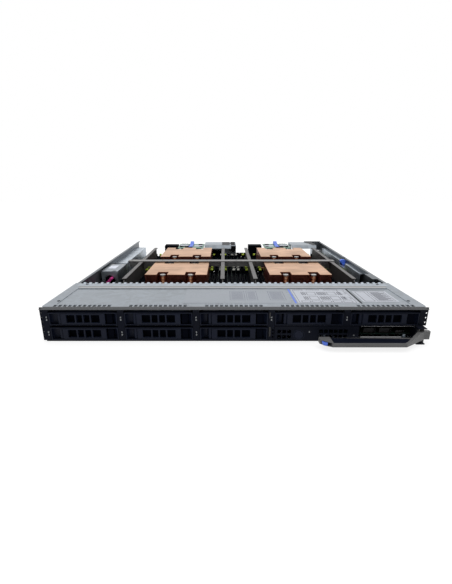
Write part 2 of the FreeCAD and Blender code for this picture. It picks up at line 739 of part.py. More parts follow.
def card_cage():
    x0, x1, s0, s1 = card_cage_box()
    shell = box(x0, x1, s0, s1, BOARD_TOP, CAGE_TOP)
    inside = box(x0 + SHEET, x1 - SHEET, s0 + SHEET, s1 - SHEET, BOARD_TOP - 1, CAGE_TOP - SHEET)
    port = along_y((x0 + x1) / 2, s0 - 1, s0 + SHEET + 1, pull_tab_z(), CARD_CAGE_HOLE)
    return shell.cut([inside, port])


def pull_tab_z():
    return BOARD_TOP + 15.0


def cage_pull_tab():
    x0, x1, s0, s1 = card_cage_box()
    x = (x0 + x1) / 2
    z = pull_tab_z()
    plug = along_y(x, s0, s0 + SHEET + 8, z, CARD_CAGE_HOLE - BUTTON_GAP)
    grip = side_section([(s0 - 9, z + 4), (s0 - 7, z + 5), (s0, z + 2.5), (s0, z - 2.5), (s0 - 2, z - 2.5)],
                        x - 3.5, x + 3.5)
    return join(plug, grip)


def side_duct():
    x0 = -WALL_IN
    x1 = x0 + DUCT_WIDTH
    s0 = CROSS_WEB_S + 17
    s1 = BODY_DEPTH - 28
    shell = box(x0, x1, s0, s1, BOARD_TOP, BOARD_TOP + DUCT_HEIGHT)
    inside = box(x0 + SHEET, x1 - SHEET, s0 + SHEET, s1 + 1, BOARD_TOP - 1, BOARD_TOP + DUCT_HEIGHT - SHEET)
    return shell.cut(inside)


def clip_box():
    """The clip stands behind the cross member, under a gap in the wall's top flange."""
    s0 = CROSS_WEB_S + CLIP_BEHIND
    z1 = COVER_UNDER - CLIP_DROP
    return BANK_RIGHT, WALL_IN - RUN_GAP, s0, s0 + CLIP_DEPTH, z1 - CLIP_HEIGHT, z1


def clip_axis():
    x0, x1, s0, s1, z0, z1 = clip_box()
    return x1 - 2.2, z0 + 2.2


def side_bracket():
    x0 = BANK_RIGHT + CHANNEL_GAP
    top = BOARD_TOP + BRACKET_HEIGHT
    s0 = CROSS_WEB_S - BRACKET_LEAD
    s1 = CROSS_WEB_S + BRACKET_TAIL
    profile = [
        (x0, BOARD_TOP),
        (x0 + SHEET, BOARD_TOP),
        (x0 + SHEET, top - SHEET),
        (WALL_IN, top - SHEET),
        (WALL_IN, top),
        (x0, top),
    ]
    rail = front_section(profile, s0, s1)
    c0, c1, cs0, cs1, cz0, cz1 = clip_box()
    seat_bottom = cz0 - CLIP_SEAT
    cut = box(x0 - 1, WALL_IN + 1, cs0 - CLIP_ACCESS, cs1 + RUN_GAP, seat_bottom, top + 1)
    seat = box(x0, WALL_IN, cs0 - CLIP_ACCESS, cs1 + RUN_GAP, seat_bottom, cz0 - RUN_GAP)
    return join(rail.cut(cut), seat)


def bracket_clip():
    x0, x1, s0, s1, z0, z1 = clip_box()
    ax, az = clip_axis()
    outline = [(x0, z0 + 6), (ax, z0), (x1, az), (x1, z1 - 1.5), (x1 - 2, z1), (x0 + 1.5, z1), (x0, z1 - 1.5)]
    block = front_section(outline, s0 + 1.5, s1 - 1.5)
    pin = along_y(ax, s0, s1, az, CLIP_PIN_RADIUS)
    return join(block, pin)


def cable_block():
    x1 = WALL_IN - 3.5
    outline = [(x1 - 24, BOARD_TOP), (x1, BOARD_TOP), (x1, CAGE_TOP - 1), (x1 - 12, CAGE_TOP - 1),
               (x1 - 24, CAGE_TOP - 9)]
    return front_section(outline, BOARD_S + 4, FRONT_BANK_S - 14)


# Rear cards
def card_s():
    return BODY_DEPTH - 4.5 - CARD_DEPTH


def network_card(x):
    z = BOARD_TOP + CARD_RISE
    s0 = card_s()
    half = CARD_WIDTH / 2
    sheet = plan([(x - half, s0), (x - 10, s0), (x - 10, s0 + 5), (x + 10, s0 + 5), (x + 10, s0),
                  (x + half, s0), (x + half, s0 + CARD_DEPTH), (x - half, s0 + CARD_DEPTH)], z, z + CARD_THICK)
    riser = box(x - 22, x + 22, s0 + 12, s0 + 22, BOARD_TOP, z)
    outward = -1.0 if x < BOARD_X else 1.0
    chip_x = x + outward * (STRAP_WIDTH / 2 + CHIP_SIZE / 2 + CHIP_SPACE)
    chip = box(chip_x - CHIP_SIZE / 2, chip_x + CHIP_SIZE / 2, s0 + 20, s0 + 20 + CHIP_SIZE,
               z + CARD_THICK, z + CARD_THICK + CHIP_THICK)
    return [sheet, riser, chip]


def card_lever(x):
    """Flat strap with a raised grip in front and a thumb rest behind, turning on a barrel at its rear end."""
    z = BOARD_TOP + CARD_RISE + CARD_THICK + SEAT_GAP
    s0 = card_s() - 6
    s1 = card_s() + CARD_DEPTH - 3
    left = x - STRAP_WIDTH / 2
    profile = [(s0, z + 2.4), (s0 + 8, z), (s1, z), (s1 + STRAP_THICK, z + STRAP_THICK),
               (s1 + STRAP_THICK, z + STRAP_RISE), (s1, z + STRAP_RISE), (s1 - STRAP_RAMP, z + STRAP_THICK),
               (s0 + 8.4, z + STRAP_THICK), (s0, z + 2.4 + STRAP_THICK)]
    strap = side_section(profile, left, left + STRAP_WIDTH)
    barrel = along_x(left, left + STRAP_WIDTH, s1, z + STRAP_THICK, STRAP_THICK)
    return join(strap, barrel)


def rear_card_cage(x0, x1):
    s0 = BODY_DEPTH - 2 - REAR_CAGE_DEPTH
    s1 = BODY_DEPTH - BOARD_REAR_GAP - 0.5
    top = BOARD_TOP + REAR_CAGE_HEIGHT
    shell = box(x0, x1, s0, s1, BOARD_TOP, top)
    inside = box(x0 + SHEET, x1 - SHEET, s0 - 1, s1 + 1, BOARD_TOP - 1, top - SHEET)
    window = box(x0 + 40, x1 - 8, s0 + 12, s0 + 26, top - SHEET - 1, top + 1)
    return shell.cut([inside, window])


def rear_card_cages():
    half = CARD_WIDTH / 2 + 2.5
    left = rear_card_cage(CPU_X[0] + half, BOARD_X + 4)
    right = rear_card_cage(CPU_X[1] + half, WALL_IN - 20)
    return [left, right]


def guide_x(side):
    return side * (WALL_IN - 10.0)


def guide_socket(side):
    x = guide_x(side)
    s1 = BODY_DEPTH
    block = box(x - 7, x + 7, s1 - 24, s1 - BOARD_REAR_GAP, BOARD_TOP, BOARD_TOP + 14)
    nose = along_y(x, s1 - BOARD_REAR_GAP, s1, BOARD_TOP + 7, 6.0)
    bore = along_y(x, s1 - GUIDE_BORE_DEPTH, s1 + 1, BOARD_TOP + 7, GUIDE_BORE_RADIUS)
    return join(block, nose).cut(bore)


def rear_connectors():
    s0 = BODY_DEPTH - CONNECTOR_REACH
    half = CONNECTOR_WIDTH / 2
    side_right = CPU_X[0] - half - CONNECTOR_SPACE
    other_right = CPU_X[1] - half - CONNECTOR_SPACE
    spans = [
        (side_right - SIDE_CONNECTOR_WIDTH, side_right),
        (CPU_X[0] - half, CPU_X[0] + half),
        (other_right - SIDE_CONNECTOR_WIDTH, other_right),
        (CPU_X[1] - half, CPU_X[1] + half),
    ]
    heights = [SIDE_CONNECTOR_HEIGHT, CONNECTOR_HEIGHT, SIDE_CONNECTOR_HEIGHT, CONNECTOR_HEIGHT]
    solids = [box(x0, x1, s0, BODY_DEPTH, BOARD_TOP, BOARD_TOP + height)
              for (x0, x1), height in zip(spans, heights)]
    return solids + [guide_socket(-1), guide_socket(1)]


# Control panel
def panel_left():
    return divider_x(LOWER_COLUMNS) + DIVIDER_WIDTH / 2 + RUN_GAP


def power_place():
    return panel_left() + POWER_X, SHEET + 6.6


def io_panel():
    x0 = panel_left()
    x1 = x0 + CONTROL_WIDTH
    x2 = x1 + VENT_PANEL_WIDTH
    top = LEDGE_BOTTOM - RUN_GAP
    face = box(x0, x1, CARRIER_FACE_S, POST_SETBACK + PANEL_THICK, SHEET, top)
    grille = box(x1, x2, POST_SETBACK + 0.4, POST_SETBACK + PANEL_THICK, SHEET, top)
    px, pz = power_place()
    cuts = [along_y(px, 0, 6, pz, POWER_RADIUS + BUTTON_GAP)]
    for start, count in ((x0 + 3.2, 3), (x1 + 1.8, 6)):
        for k in range(count):
            for z in (SHEET + 1.8, SHEET + 1.8 + VENT_PITCH + 1):
                left = start + k * VENT_PITCH
                cuts.append(box(left, left + VENT_SQUARE, 0, 6, z, z + VENT_SQUARE))
    return join(face, grille).cut(cuts)


def power_button():
    px, pz = power_place()
    return along_y(px, CARRIER_FACE_S - 0.3, POST_SETBACK + PANEL_THICK + 1.0, pz, POWER_RADIUS)


def control_board():
    x0, x1, s0, s1 = control_board_box()
    top = BOARD_BOTTOM + 1.6
    sheet = box(x0, x1, s0, s1, BOARD_BOTTOM, top)
    port_x = x1 - 55
    ports = [
        box(port_x, port_x + 13.2, s0 + 1, s0 + 18, top, top + 6.2),
        box(port_x + 18, port_x + 31.2, s0 + 1, s0 + 18, top, top + 6.2),
        box(port_x + 37, port_x + 46, s0 + 1, s0 + 16, top, top + 3.4),
    ]
    return [sheet] + ports


def tag_place():
    return divider_x(LOWER_COLUMNS) - 1.4, SHEET + 4.6


def information_tag():
    x, z = tag_place()
    return box(x - TAG_THICK / 2, x + TAG_THICK / 2,
               POST_SETBACK - 0.7, POST_SETBACK + TAG_LENGTH, z, z + TAG_HEIGHT)


# Handle
def pivot_x():
    return WALL_IN - PIVOT_INSET


def block_left():
    return pivot_x() - HANDLE_SPAN


def handle_loop():
    """Left, right, bottom and top of the opening that holds the release button."""
    left = block_left() + 1.6
    return left, left + 9.4, HANDLE_BOTTOM + 0.9, HANDLE_BOTTOM + BLOCK_TALL - 0.9


def handle():
    px = pivot_x()
    left = block_left()
    front = -HANDLE_REACH
    top = HANDLE_BOTTOM + HANDLE_TALL
    low = HANDLE_BOTTOM + HANDLE_LOW
    turn = px - 26.5
    plate = plan([(left + 4, -12), (left + BLOCK_WIDTH, front), (turn, front), (px, -PIVOT_FORWARD - 3),
                  (px - 8, -5), (left + BLOCK_WIDTH, -5)], HANDLE_BOTTOM, HANDLE_BOTTOM + HANDLE_PLATE)
    bar = plan([(left + BLOCK_WIDTH - 1, front), (turn, front), (turn - 1.2, front + 2.6),
                (left + BLOCK_WIDTH - 1, front + 2.6)], HANDLE_BOTTOM, low)
    block = plan([(left, -12), (left, -19), (left + 5, -25), (left + BLOCK_WIDTH, front),
                  (left + BLOCK_WIDTH, -12)], HANDLE_BOTTOM, HANDLE_BOTTOM + BLOCK_TALL)
    arm = plan([(turn, front), (px + 3.0, -PIVOT_FORWARD - 3.2), (px - 2.5, -PIVOT_FORWARD),
                (turn - 1.2, front + 2.6)], HANDLE_BOTTOM, top)
    slope = [(turn - 3, low), (turn + 4, low), (px - 6, top), (px - 6, top + 1), (turn - 3, top + 1)]
    arm_cut = front_section(slope, front - 1, 0)
    barrel = upright(px, -PIVOT_FORWARD, HANDLE_BOTTOM, top, PIVOT_RADIUS)
    toe = plan([(px, -PIVOT_FORWARD - 3.6), (px + 8.0, -PIVOT_FORWARD - 3.6), (px + 8.0, -PIVOT_FORWARD + 1.0),
                (px, -PIVOT_FORWARD + 3.0)], HANDLE_BOTTOM, top)
    x0, x1, z0, z1 = handle_loop()
    loop = box(x0, x1, front - 1, -8, z0, z1)
    bore = upright(px, -PIVOT_FORWARD, HANDLE_BOTTOM - 1, top + 1, PIVOT_PIN_RADIUS + PIN_CLEARANCE)
    return join(join(plate, bar, block).cut(loop), arm.cut(arm_cut), barrel, toe).cut(bore)


def handle_button():
    x0, x1, z0, z1 = handle_loop()
    left = x0 + BUTTON_GAP
    low = z0 + BUTTON_GAP
    high = z1 - BUTTON_GAP
    return plan([(left, -25.5), (left + 1, -27.5), (left + 4.6, -27.5), (left + 5.2, -26.5), (left + 5.2, -14),
                 (left, -14)], low, high)


def handle_pin():
    px = pivot_x()
    shoulder = upright(px, -PIVOT_FORWARD, SHEET, HANDLE_BOTTOM - SEAT_GAP, PIVOT_PIN_RADIUS + 1.4)
    shank = upright(px, -PIVOT_FORWARD, HANDLE_BOTTOM - SEAT_GAP, LEDGE_BOTTOM, PIVOT_PIN_RADIUS)
    return join(shoulder, shank)


def main():
    save("chassis_floor", chassis_floor())
    save("side_walls", side_wall(-1), side_wall(1))
    save("drive_cage", *drive_cage())
    save("drive_bay_cover", drive_bay_cover())
    save("drive_backplane", *drive_backplane())
    save("light_pipes", *light_pipes())
    save("system_board", system_board())
    save("processors", *processors())
    save("heatsinks", *[heatsink(x, s) for x, s in cpu_places()])
    screws = [spot for x, s in cpu_places() for spot in screw_places(x, s)]
    save("heatsink_screws", *[heatsink_screw(x, s) for x, s, end in screws])
    banks = (FRONT_BANK_S, REAR_BANK_S)
    save("memory_sockets", *[memory_socket(x, s) for s in banks for x in socket_columns()])
    for bank, bank_s in zip(("front", "rear"), banks):
        for place, end in (("a", -1), ("b", 1)):
            save("memory_latches_" + bank + "_" + place, *latch_row(bank_s, end))
    save("air_rails", *air_rails())
    save("cross_member", cross_member())
    save("card_cage", card_cage())
    save("cage_pull_tab", cage_pull_tab())
    save("side_duct", side_duct())
    save("side_bracket", side_bracket())
    save("bracket_clip", bracket_clip())
    save("cable_block", cable_block())
    save("network_cards", *[solid for x in CPU_X for solid in network_card(x)])
    save("card_lever_left", card_lever(CPU_X[0]))
    save("card_lever_right", card_lever(CPU_X[1]))
    save("rear_card_cages", *rear_card_cages())
    save("rear_connectors", *rear_connectors())
    save("io_panel", io_panel())
    save("power_button", power_button())
    save("control_board", *control_board())
    save("information_tag", information_tag())
    save("handle", handle())
    save("handle_button", handle_button())
    save("handle_pin", handle_pin())
    for number, (column, row) in enumerate(drive_places(), start=1):
        save("drive_%d" % number, *carrier(column, row))
        save("drive_lever_%d" % number, drive_lever(column, row))
        save("drive_button_%d" % number, drive_button(column, row))


main()
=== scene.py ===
"""Finishes a full-width server sled: sheet metal, carriers, heatsinks, memory, cards, labels and stage."""

import json
import math

import bmesh
import bpy
import numpy as np
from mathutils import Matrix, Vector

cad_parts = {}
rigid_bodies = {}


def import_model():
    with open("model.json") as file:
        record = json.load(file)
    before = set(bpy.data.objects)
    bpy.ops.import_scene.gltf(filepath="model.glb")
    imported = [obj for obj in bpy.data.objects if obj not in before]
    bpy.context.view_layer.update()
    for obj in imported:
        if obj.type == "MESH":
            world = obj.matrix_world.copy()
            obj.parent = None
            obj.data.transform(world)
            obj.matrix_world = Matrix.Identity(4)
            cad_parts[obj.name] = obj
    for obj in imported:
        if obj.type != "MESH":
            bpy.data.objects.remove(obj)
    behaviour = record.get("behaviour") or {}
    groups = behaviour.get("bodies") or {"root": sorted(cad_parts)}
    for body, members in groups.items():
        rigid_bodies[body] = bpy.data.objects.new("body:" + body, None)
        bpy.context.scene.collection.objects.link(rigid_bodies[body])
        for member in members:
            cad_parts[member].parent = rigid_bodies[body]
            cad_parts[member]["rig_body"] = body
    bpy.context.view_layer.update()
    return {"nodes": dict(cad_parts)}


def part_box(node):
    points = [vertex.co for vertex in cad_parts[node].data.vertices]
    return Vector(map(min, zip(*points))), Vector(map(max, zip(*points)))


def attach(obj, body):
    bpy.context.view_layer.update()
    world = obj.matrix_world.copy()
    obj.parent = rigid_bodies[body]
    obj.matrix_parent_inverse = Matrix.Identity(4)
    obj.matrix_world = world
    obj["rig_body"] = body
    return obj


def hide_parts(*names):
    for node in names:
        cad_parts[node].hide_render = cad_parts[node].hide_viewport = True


bl_info = {
    "name": "Server Sled Finishes",
    "version": (1, 0, 0),
    "blender": (4, 5, 0),
    "location": "View3D > Sidebar > Sled",
    "description": "Builds the visible pieces and finishes of a server sled on its packed frame",
    "category": "Object",
}

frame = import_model()
MM = 0.001
CHASSIS = "chassis"
IMAGE_SIZE = (452, 584)

# Shared node groups and finishes by name, filled by the first operator
GROUPS = {}
FINISHES = {}


# Reading the frame

def node_box(node):
    """Lowest and highest corner of a CAD node, in mm."""
    low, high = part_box(node)
    return np.array(low) / MM, np.array(high) / MM


def node_body(node):
    return frame["nodes"][node]["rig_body"]


# Sizes in mm: first those of the frame, then those of the solids and of the small pieces

SINK_LOW, SINK_HIGH = node_box("heatsinks")
BOARD_HIGH = node_box("system_board")[1]
COVER_LOW, COVER_HIGH = node_box("drive_bay_cover")
BOARD_TOP = float(BOARD_HIGH[2])
FRONT = float(COVER_LOW[1])
WALL_OUT = 212.0
SINK_SIZE = np.array([95.0, 108.0])
SINK_BASE_TOP = 16.0
NOTCH_OFFSET = 21.5
NOTCH_SIZE = np.array([16.0, 20.0])
MEMORY_PITCH = 7.8
MEMORY_LENGTH = 142.0
LATCH_RADIUS = 1.7
LATCH_SPLIT = 8.9
RAIL_SLOT = 1.2
TOWER_TOP = 16.9
FINGER_PITCH = 7.8
LABEL_RIM = 0.03
CARD_LEVEL = 34.6
DISK_HEIGHT = 10.5
DISK_START = 10.2
DISK_HALF = 35.0
RECESS_MIDDLE = 6.0
RECESS_REACH = 3.0
RECESS_HALF = 22.0
CONTACT_LEVEL = 10.4
BEAD_HALF = 198.0
STICKER = 0.15
PORT_WALL = 0.15
PORTS = ((149.8, 163.0, 6.0, 12.2), (167.8, 181.0, 6.0, 12.2), (186.8, 195.8, 6.0, 9.4))
SHARP_ANGLE = math.radians(35.0)
LATCH_ROWS = ("front_a", "front_b", "rear_a", "rear_b")
DRIVES = range(1, 9)


def sink_centres():
    """Centres of the four heatsinks in plan, in mm: front left, front right, rear left, rear right."""
    xs = (SINK_LOW[0] + SINK_SIZE[0] / 2, SINK_HIGH[0] - SINK_SIZE[0] / 2)
    ys = (SINK_LOW[1] + SINK_SIZE[1] / 2, SINK_HIGH[1] - SINK_SIZE[1] / 2)
    return np.array([(x, y) for y in ys for x in xs])


def memory_columns():
    """Centre line of each memory socket: six columns outward from each side of the two heatsink columns."""
    step = np.arange(6)
    reach = (step + 0.5) * MEMORY_PITCH + np.where(step >= 3, RAIL_SLOT, 0.0)
    half = SINK_SIZE[0] / 2
    columns = [x + way * (half + reach) for x in sink_centres()[:2, 0] for way in (-1, 1)]
    return np.array(columns)


# Shapes as whole arrays: a shape is its points in mm and a list of face tables

def loft(rings):
    """Skins rings of points: one face joins points j and j+1 of rings i and i+1, and both ends are closed."""
    rings = np.asarray(rings, float)
    rows, count = rings.shape[:2]
    index = np.arange(rows * count).reshape(rows, count)
    beside = np.roll(index, -1, axis=1)
    quads = np.stack([index[:-1], beside[:-1], beside[1:], index[1:]], axis=-1).reshape(-1, 4)
    return rings.reshape(-1, 3), [quads, index[:1, ::-1], index[-1:]]


def joined(shapes):
    """Puts several shapes into one, moving each face table past the points before it."""
    points = []
    tables = []
    start = 0
    for shape_points, shape_tables in shapes:
        points.append(shape_points)
        tables += [table + start for table in shape_tables]
        start += len(shape_points)
    return np.concatenate(points), tables


def copies(shape, places):
    """Repeats a shape at each place: every point plus the place's offset."""
    points, tables = shape
    places = np.asarray(places, float).reshape(-1, 3)
    count = len(points)
    moved = (places[:, None, :] + points[None, :, :]).reshape(-1, 3)
    steps = np.arange(len(places)) * count
    return moved, [(steps[:, None, None] + table[None]).reshape(-1, table.shape[1]) for table in tables]


def mitred(outline, inset):
    """Draws a closed anticlockwise outline in by inset.

    A corner moves along its bisector: by inset times the sum of its edges' inward normals, over one plus
    their product.
    """
    outline = np.asarray(outline, float)
    along = np.roll(outline, -1, axis=0) - outline
    along /= np.linalg.norm(along, axis=1, keepdims=True)
    inward = np.stack([-along[:, 1], along[:, 0]], axis=1)
    before = np.roll(inward, 1, axis=0)
    share = 1.0 + np.sum(inward * before, axis=1, keepdims=True)
    return outline + inset * (inward + before) / share


def turned(plan_points, height, axis):
    """Stands points (a, b) at height h on an axis: (h, a, b) for X, (b, h, a) for Y, (a, b, h) for Z."""
    a, b = plan_points[:, 0], plan_points[:, 1]
    h = np.full(len(a), float(height))
    order = {0: (h, a, b), 1: (b, h, a), 2: (a, b, h)}
    return np.stack(order[axis], axis=1)


def carried(outline, rows, axis=2):
    """Carries a profile round an outline: row (inset, height) is the outline drawn in, at that height."""
    rings = [turned(mitred(outline, inset), height, axis) for inset, height in rows]
    return loft(rings)


def plate(outline, low, high, cut, axis=2):
    """A flat plate on an outline, its two rims cut at 45 degrees."""
    return carried(outline, [(cut, low), (0.0, low + cut), (0.0, high - cut), (cut, high)], axis)


def spread(centres, count, pitch):
    """An even row of places about each centre."""
    return (centres[:, None] + (np.arange(count) - (count - 1) / 2) * pitch).ravel()


def rectangle(a0, a1, b0, b1):
    """Corners of a rectangle, anticlockwise from its lowest one."""
    return np.array([(a0, b0), (a1, b0), (a1, b1), (a0, b1)], float)


def rounded(a0, a1, b0, b1, radius, steps=4):
    """A rectangle with round corners: corner centre plus radius times (cos t, sin t), t over 90 degrees."""
    angle = np.linspace(0.0, math.pi / 2, steps + 1)
    quarter = radius * np.stack([np.cos(angle), np.sin(angle)], axis=1)
    turn = np.array([[0.0, 1.0], [-1.0, 0.0]])
    centres = np.array([(a1 - radius, b1 - radius), (a0 + radius, b1 - radius),
                        (a0 + radius, b0 + radius), (a1 - radius, b0 + radius)])
    corners = []
    for centre in centres:
        corners.append(centre + quarter)
        quarter = quarter @ turn
    return np.concatenate(corners)


def lathed(profile, places, sides, axis=2):
    """Turns a profile about a line: row (radius, height) is radius times (cos t, sin t), stood at height."""
    angle = np.arange(sides) * 2 * math.pi / sides
    circle = np.stack([np.cos(angle), np.sin(angle)], axis=1)
    rings = [turned(radius * circle, height, axis) for radius, height in profile]
    return copies(loft(rings), places)


def coiled(radius, wire, low, high, turns, sides=6, steps=14):
    """A spring: a circle of the wire's radius carried along a helix that rises evenly from low to high."""
    t = np.linspace(0.0, turns * 2 * math.pi, int(turns * steps) + 1)
    centre = np.stack([radius * np.cos(t), radius * np.sin(t), low + (high - low) * t / t[-1]], axis=1)
    outward = np.stack([np.cos(t), np.sin(t), np.zeros_like(t)], axis=1)
    angle = np.arange(sides) * 2 * math.pi / sides
    rise = np.array([0.0, 0.0, 1.0])
    rings = (centre[:, None] + wire * np.cos(angle)[None, :, None] * outward[:, None]
             - wire * np.sin(angle)[None, :, None] * rise)
    return loft(rings[:, ::-1])


CORNER_SIGNS = np.array([(x, y, z) for x in (-1, 1) for y in (-1, 1) for z in (-1, 1)], float)


def cut_box_tables():
    """Faces of a box with cut edges. Point 3c + a is corner c, drawn in on every axis but a."""
    corner = CORNER_SIGNS
    quads = []
    for axis in range(3):
        b, c = (axis + 1) % 3, (axis + 2) % 3
        for sign in (-1, 1):
            ring = [(sign, -1, -1), (sign, 1, -1), (sign, 1, 1), (sign, -1, 1)]
            ring = ring if sign > 0 else ring[::-1]
            quads.append([3 * find_corner(corner, axis, b, c, spot) + axis for spot in ring])
        for first in (-1, 1):
            for second in (-1, 1):
                low = find_corner(corner, axis, b, c, (-1, first, second))
                high = find_corner(corner, axis, b, c, (1, first, second))
                edge = [3 * low + b, 3 * high + b, 3 * high + c, 3 * low + c]
                quads.append(edge if first * second < 0 else edge[::-1])
    triangles = []
    for index, signs in enumerate(corner):
        face = [3 * index, 3 * index + 1, 3 * index + 2]
        triangles.append(face if np.prod(signs) > 0 else face[::-1])
    return [np.array(quads), np.array(triangles)]


def find_corner(corner, axis, b, c, spot):
    """Index of the corner whose signs on axis, b and c are those of spot."""
    wanted = np.zeros(3)
    wanted[[axis, b, c]] = spot
    return int(np.argmin(np.abs(corner - wanted).sum(axis=1)))


CUT_BOX_TABLES = cut_box_tables()


def boxes(low, high, cut):
    """Many boxes with cut edges: centre plus sign times half size, less the cut on two of the three axes."""
    low = np.asarray(low, float).reshape(-1, 3)
    high = np.asarray(high, float).reshape(-1, 3)
    half = (high - low) / 2
    inset = cut * (1.0 - np.eye(3))
    reach = half[:, None, None, :] - inset[None, None]
    points = (low + half)[:, None, None, :] + CORNER_SIGNS[None, :, None, :] * reach
    steps = np.arange(len(low)) * 3 * len(CORNER_SIGNS)
    tables = [(steps[:, None, None] + table[None]).reshape(-1, table.shape[1]) for table in CUT_BOX_TABLES]
    return points.reshape(-1, 3), tables


def standing(centres, sizes, base, cut):
    """Cut boxes that stand on one level: plan centres, sizes (x, y, z) and the level they stand on."""
    centres = np.asarray(centres, float).reshape(-1, 2)
    sizes = np.broadcast_to(np.asarray(sizes, float), (len(centres), 3))
    low = np.column_stack([centres - sizes[:, :2] / 2, np.full(len(centres), base)])
    return boxes(low, low + sizes, cut)


def flipped(shape):
    """Turns every face of a shape over."""
    points, tables = shape
    return points, [table[:, ::-1] for table in tables]


def at_zero(spots):
    """Plan places with a height of zero."""
    return np.column_stack([spots, np.zeros(len(spots))])


def lattice(xs, ys):
    """All pairs of the given x and y places."""
    x, y = np.meshgrid(xs, ys, indexing="ij")
    return np.column_stack([x.ravel(), y.ravel()])


# Making objects

def shade(mesh):
    """Smooth shading, broken where faces meet at more than the sharp angle."""
    mesh.polygons.foreach_set("use_smooth", np.ones(len(mesh.polygons), bool))
    mesh.set_sharp_from_angle(angle=SHARP_ANGLE)


def place_piece(name, mesh, body, nodes):
    """Links a mesh as a piece that rides on a body and stands for the named CAD nodes."""
    piece = bpy.data.objects.new(name, mesh)
    bpy.context.scene.collection.objects.link(piece)
    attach(piece, body)
    if nodes:
        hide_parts(*nodes)
    return piece


def make_piece(name, shape, finish, body=CHASSIS, nodes=()):
    """Puts a shape in mm into a mesh in metres and makes it a piece."""
    points, tables = shape
    faces = [face for table in tables for face in table.tolist()]
    mesh = bpy.data.meshes.new(name)
    mesh.from_pydata((points * MM).tolist(), [], faces)
    if mesh.validate():
        raise RuntimeError("the mesh of " + name + " has bad faces")
    mesh.materials.append(FINISHES[finish])
    shade(mesh)
    place_piece(name, mesh, body, nodes)


def edged(node, finishes, width, pick=None):
    """A copy of a CAD node with whole flat faces and rounded edges; pick gives each face its finish."""
    source = frame["nodes"][node].data
    points = np.zeros(len(source.vertices) * 3)
    source.vertices.foreach_get("co", points)
    merged, place = np.unique(np.round(points.reshape(-1, 3), 7), axis=0, return_inverse=True)
    source.calc_loop_triangles()
    corners = np.zeros(len(source.loop_triangles) * 3, int)
    source.loop_triangles.foreach_get("vertices", corners)
    triangles = place.ravel()[corners].reshape(-1, 3)
    name = node + "_edged"
    mesh = bpy.data.meshes.new(name)
    mesh.from_pydata(merged.tolist(), [], triangles.tolist())
    work = bmesh.new()
    work.from_mesh(mesh)
    bmesh.ops.dissolve_limit(work, angle_limit=math.radians(0.5), verts=work.verts, edges=work.edges)
    work.to_mesh(mesh)
    work.free()
    for finish in finishes:
        mesh.materials.append(FINISHES[finish])
    if pick is not None:
        centres = np.zeros(len(mesh.polygons) * 3)
        mesh.polygons.foreach_get("center", centres)
        mesh.polygons.foreach_set("material_index", pick(centres.reshape(-1, 3) / MM).astype(np.int32))
    shade(mesh)
    piece = place_piece(name, mesh, node_body(node), (node,))
    soften = piece.modifiers.new("Rounded edges", "BEVEL")
    soften.width = width * MM
    soften.segments = 2
    soften.limit_method = "ANGLE"
    soften.angle_limit = SHARP_ANGLE
    soften.use_clamp_overlap = True
    soften.harden_normals = True


def dress(node, finish):
    """Gives a CAD node that keeps its shape a finish."""
    mesh = frame["nodes"][node].data
    mesh.materials.clear()
    mesh.materials.append(FINISHES[finish])


# Finishes: helpers that add and link shader nodes

def add_node(tree, kind, inputs=None, **settings):
    made = tree.nodes.new(kind)
    for key, value in settings.items():
        setattr(made, key, value)
    for key, value in (inputs or {}).items():
        socket = made.inputs[key]
        if isinstance(value, bpy.types.NodeSocket):
            tree.links.new(value, socket)
        else:
            socket.default_value = value
    return made


def object_place(tree):
    return add_node(tree, "ShaderNodeTexCoord").outputs["Object"]


def stretched(tree, scale):
    """Object coordinates times a scale for each axis."""
    inputs = {"Vector": object_place(tree), "Scale": scale}
    return add_node(tree, "ShaderNodeMapping", inputs).outputs["Vector"]


def maths(tree, operation, first, second, clamp=False):
    made = add_node(tree, "ShaderNodeMath", {0: first, 1: second}, operation=operation, use_clamp=clamp)
    return made.outputs[0]


def weighted(tree, first, share, second, other):
    """The sum of two values, each times its share."""
    return maths(tree, "ADD", maths(tree, "MULTIPLY", first, share), maths(tree, "MULTIPLY", second, other))


def noise(tree, place, scale, detail, **more):
    inputs = {"Vector": place, "Scale": scale, "Detail": detail, **more}
    return add_node(tree, "ShaderNodeTexNoise", inputs).outputs["Fac"]


def ranged(tree, value, low, high, start=0.0, end=1.0):
    """Maps start..end of a value to low..high."""
    inputs = {"Value": value, "From Min": start, "From Max": end, "To Min": low, "To Max": high}
    return add_node(tree, "ShaderNodeMapRange", inputs).outputs["Result"]


def mixed(tree, factor, first, second):
    made = add_node(tree, "ShaderNodeMix", {0: factor, 6: first, 7: second}, data_type="RGBA")
    return made.outputs[2]


def bumped(tree, height, strength, distance):
    inputs = {"Height": height, "Strength": strength, "Distance": distance}
    return add_node(tree, "ShaderNodeBump", inputs).outputs["Normal"]


def normal_rise(tree):
    """How far a face looks up: the Z of its normal."""
    normal = add_node(tree, "ShaderNodeNewGeometry").outputs["Normal"]
    return add_node(tree, "ShaderNodeSeparateXYZ", {"Vector": normal}).outputs["Z"]


def new_group(name, inputs, outputs):
    """A node group with value inputs and value outputs."""
    tree = bpy.data.node_groups.new(name, "ShaderNodeTree")
    for label, default in inputs.items():
        kind = "NodeSocketVector" if isinstance(default, tuple) else "NodeSocketFloat"
        socket = tree.interface.new_socket(label, in_out="INPUT", socket_type=kind)
        socket.default_value = default
    for label in outputs:
        tree.interface.new_socket(label, in_out="OUTPUT", socket_type="NodeSocketFloat")
    start = tree.nodes.new("NodeGroupInput")
    end = tree.nodes.new("NodeGroupOutput")
    return tree, start.outputs, end.inputs


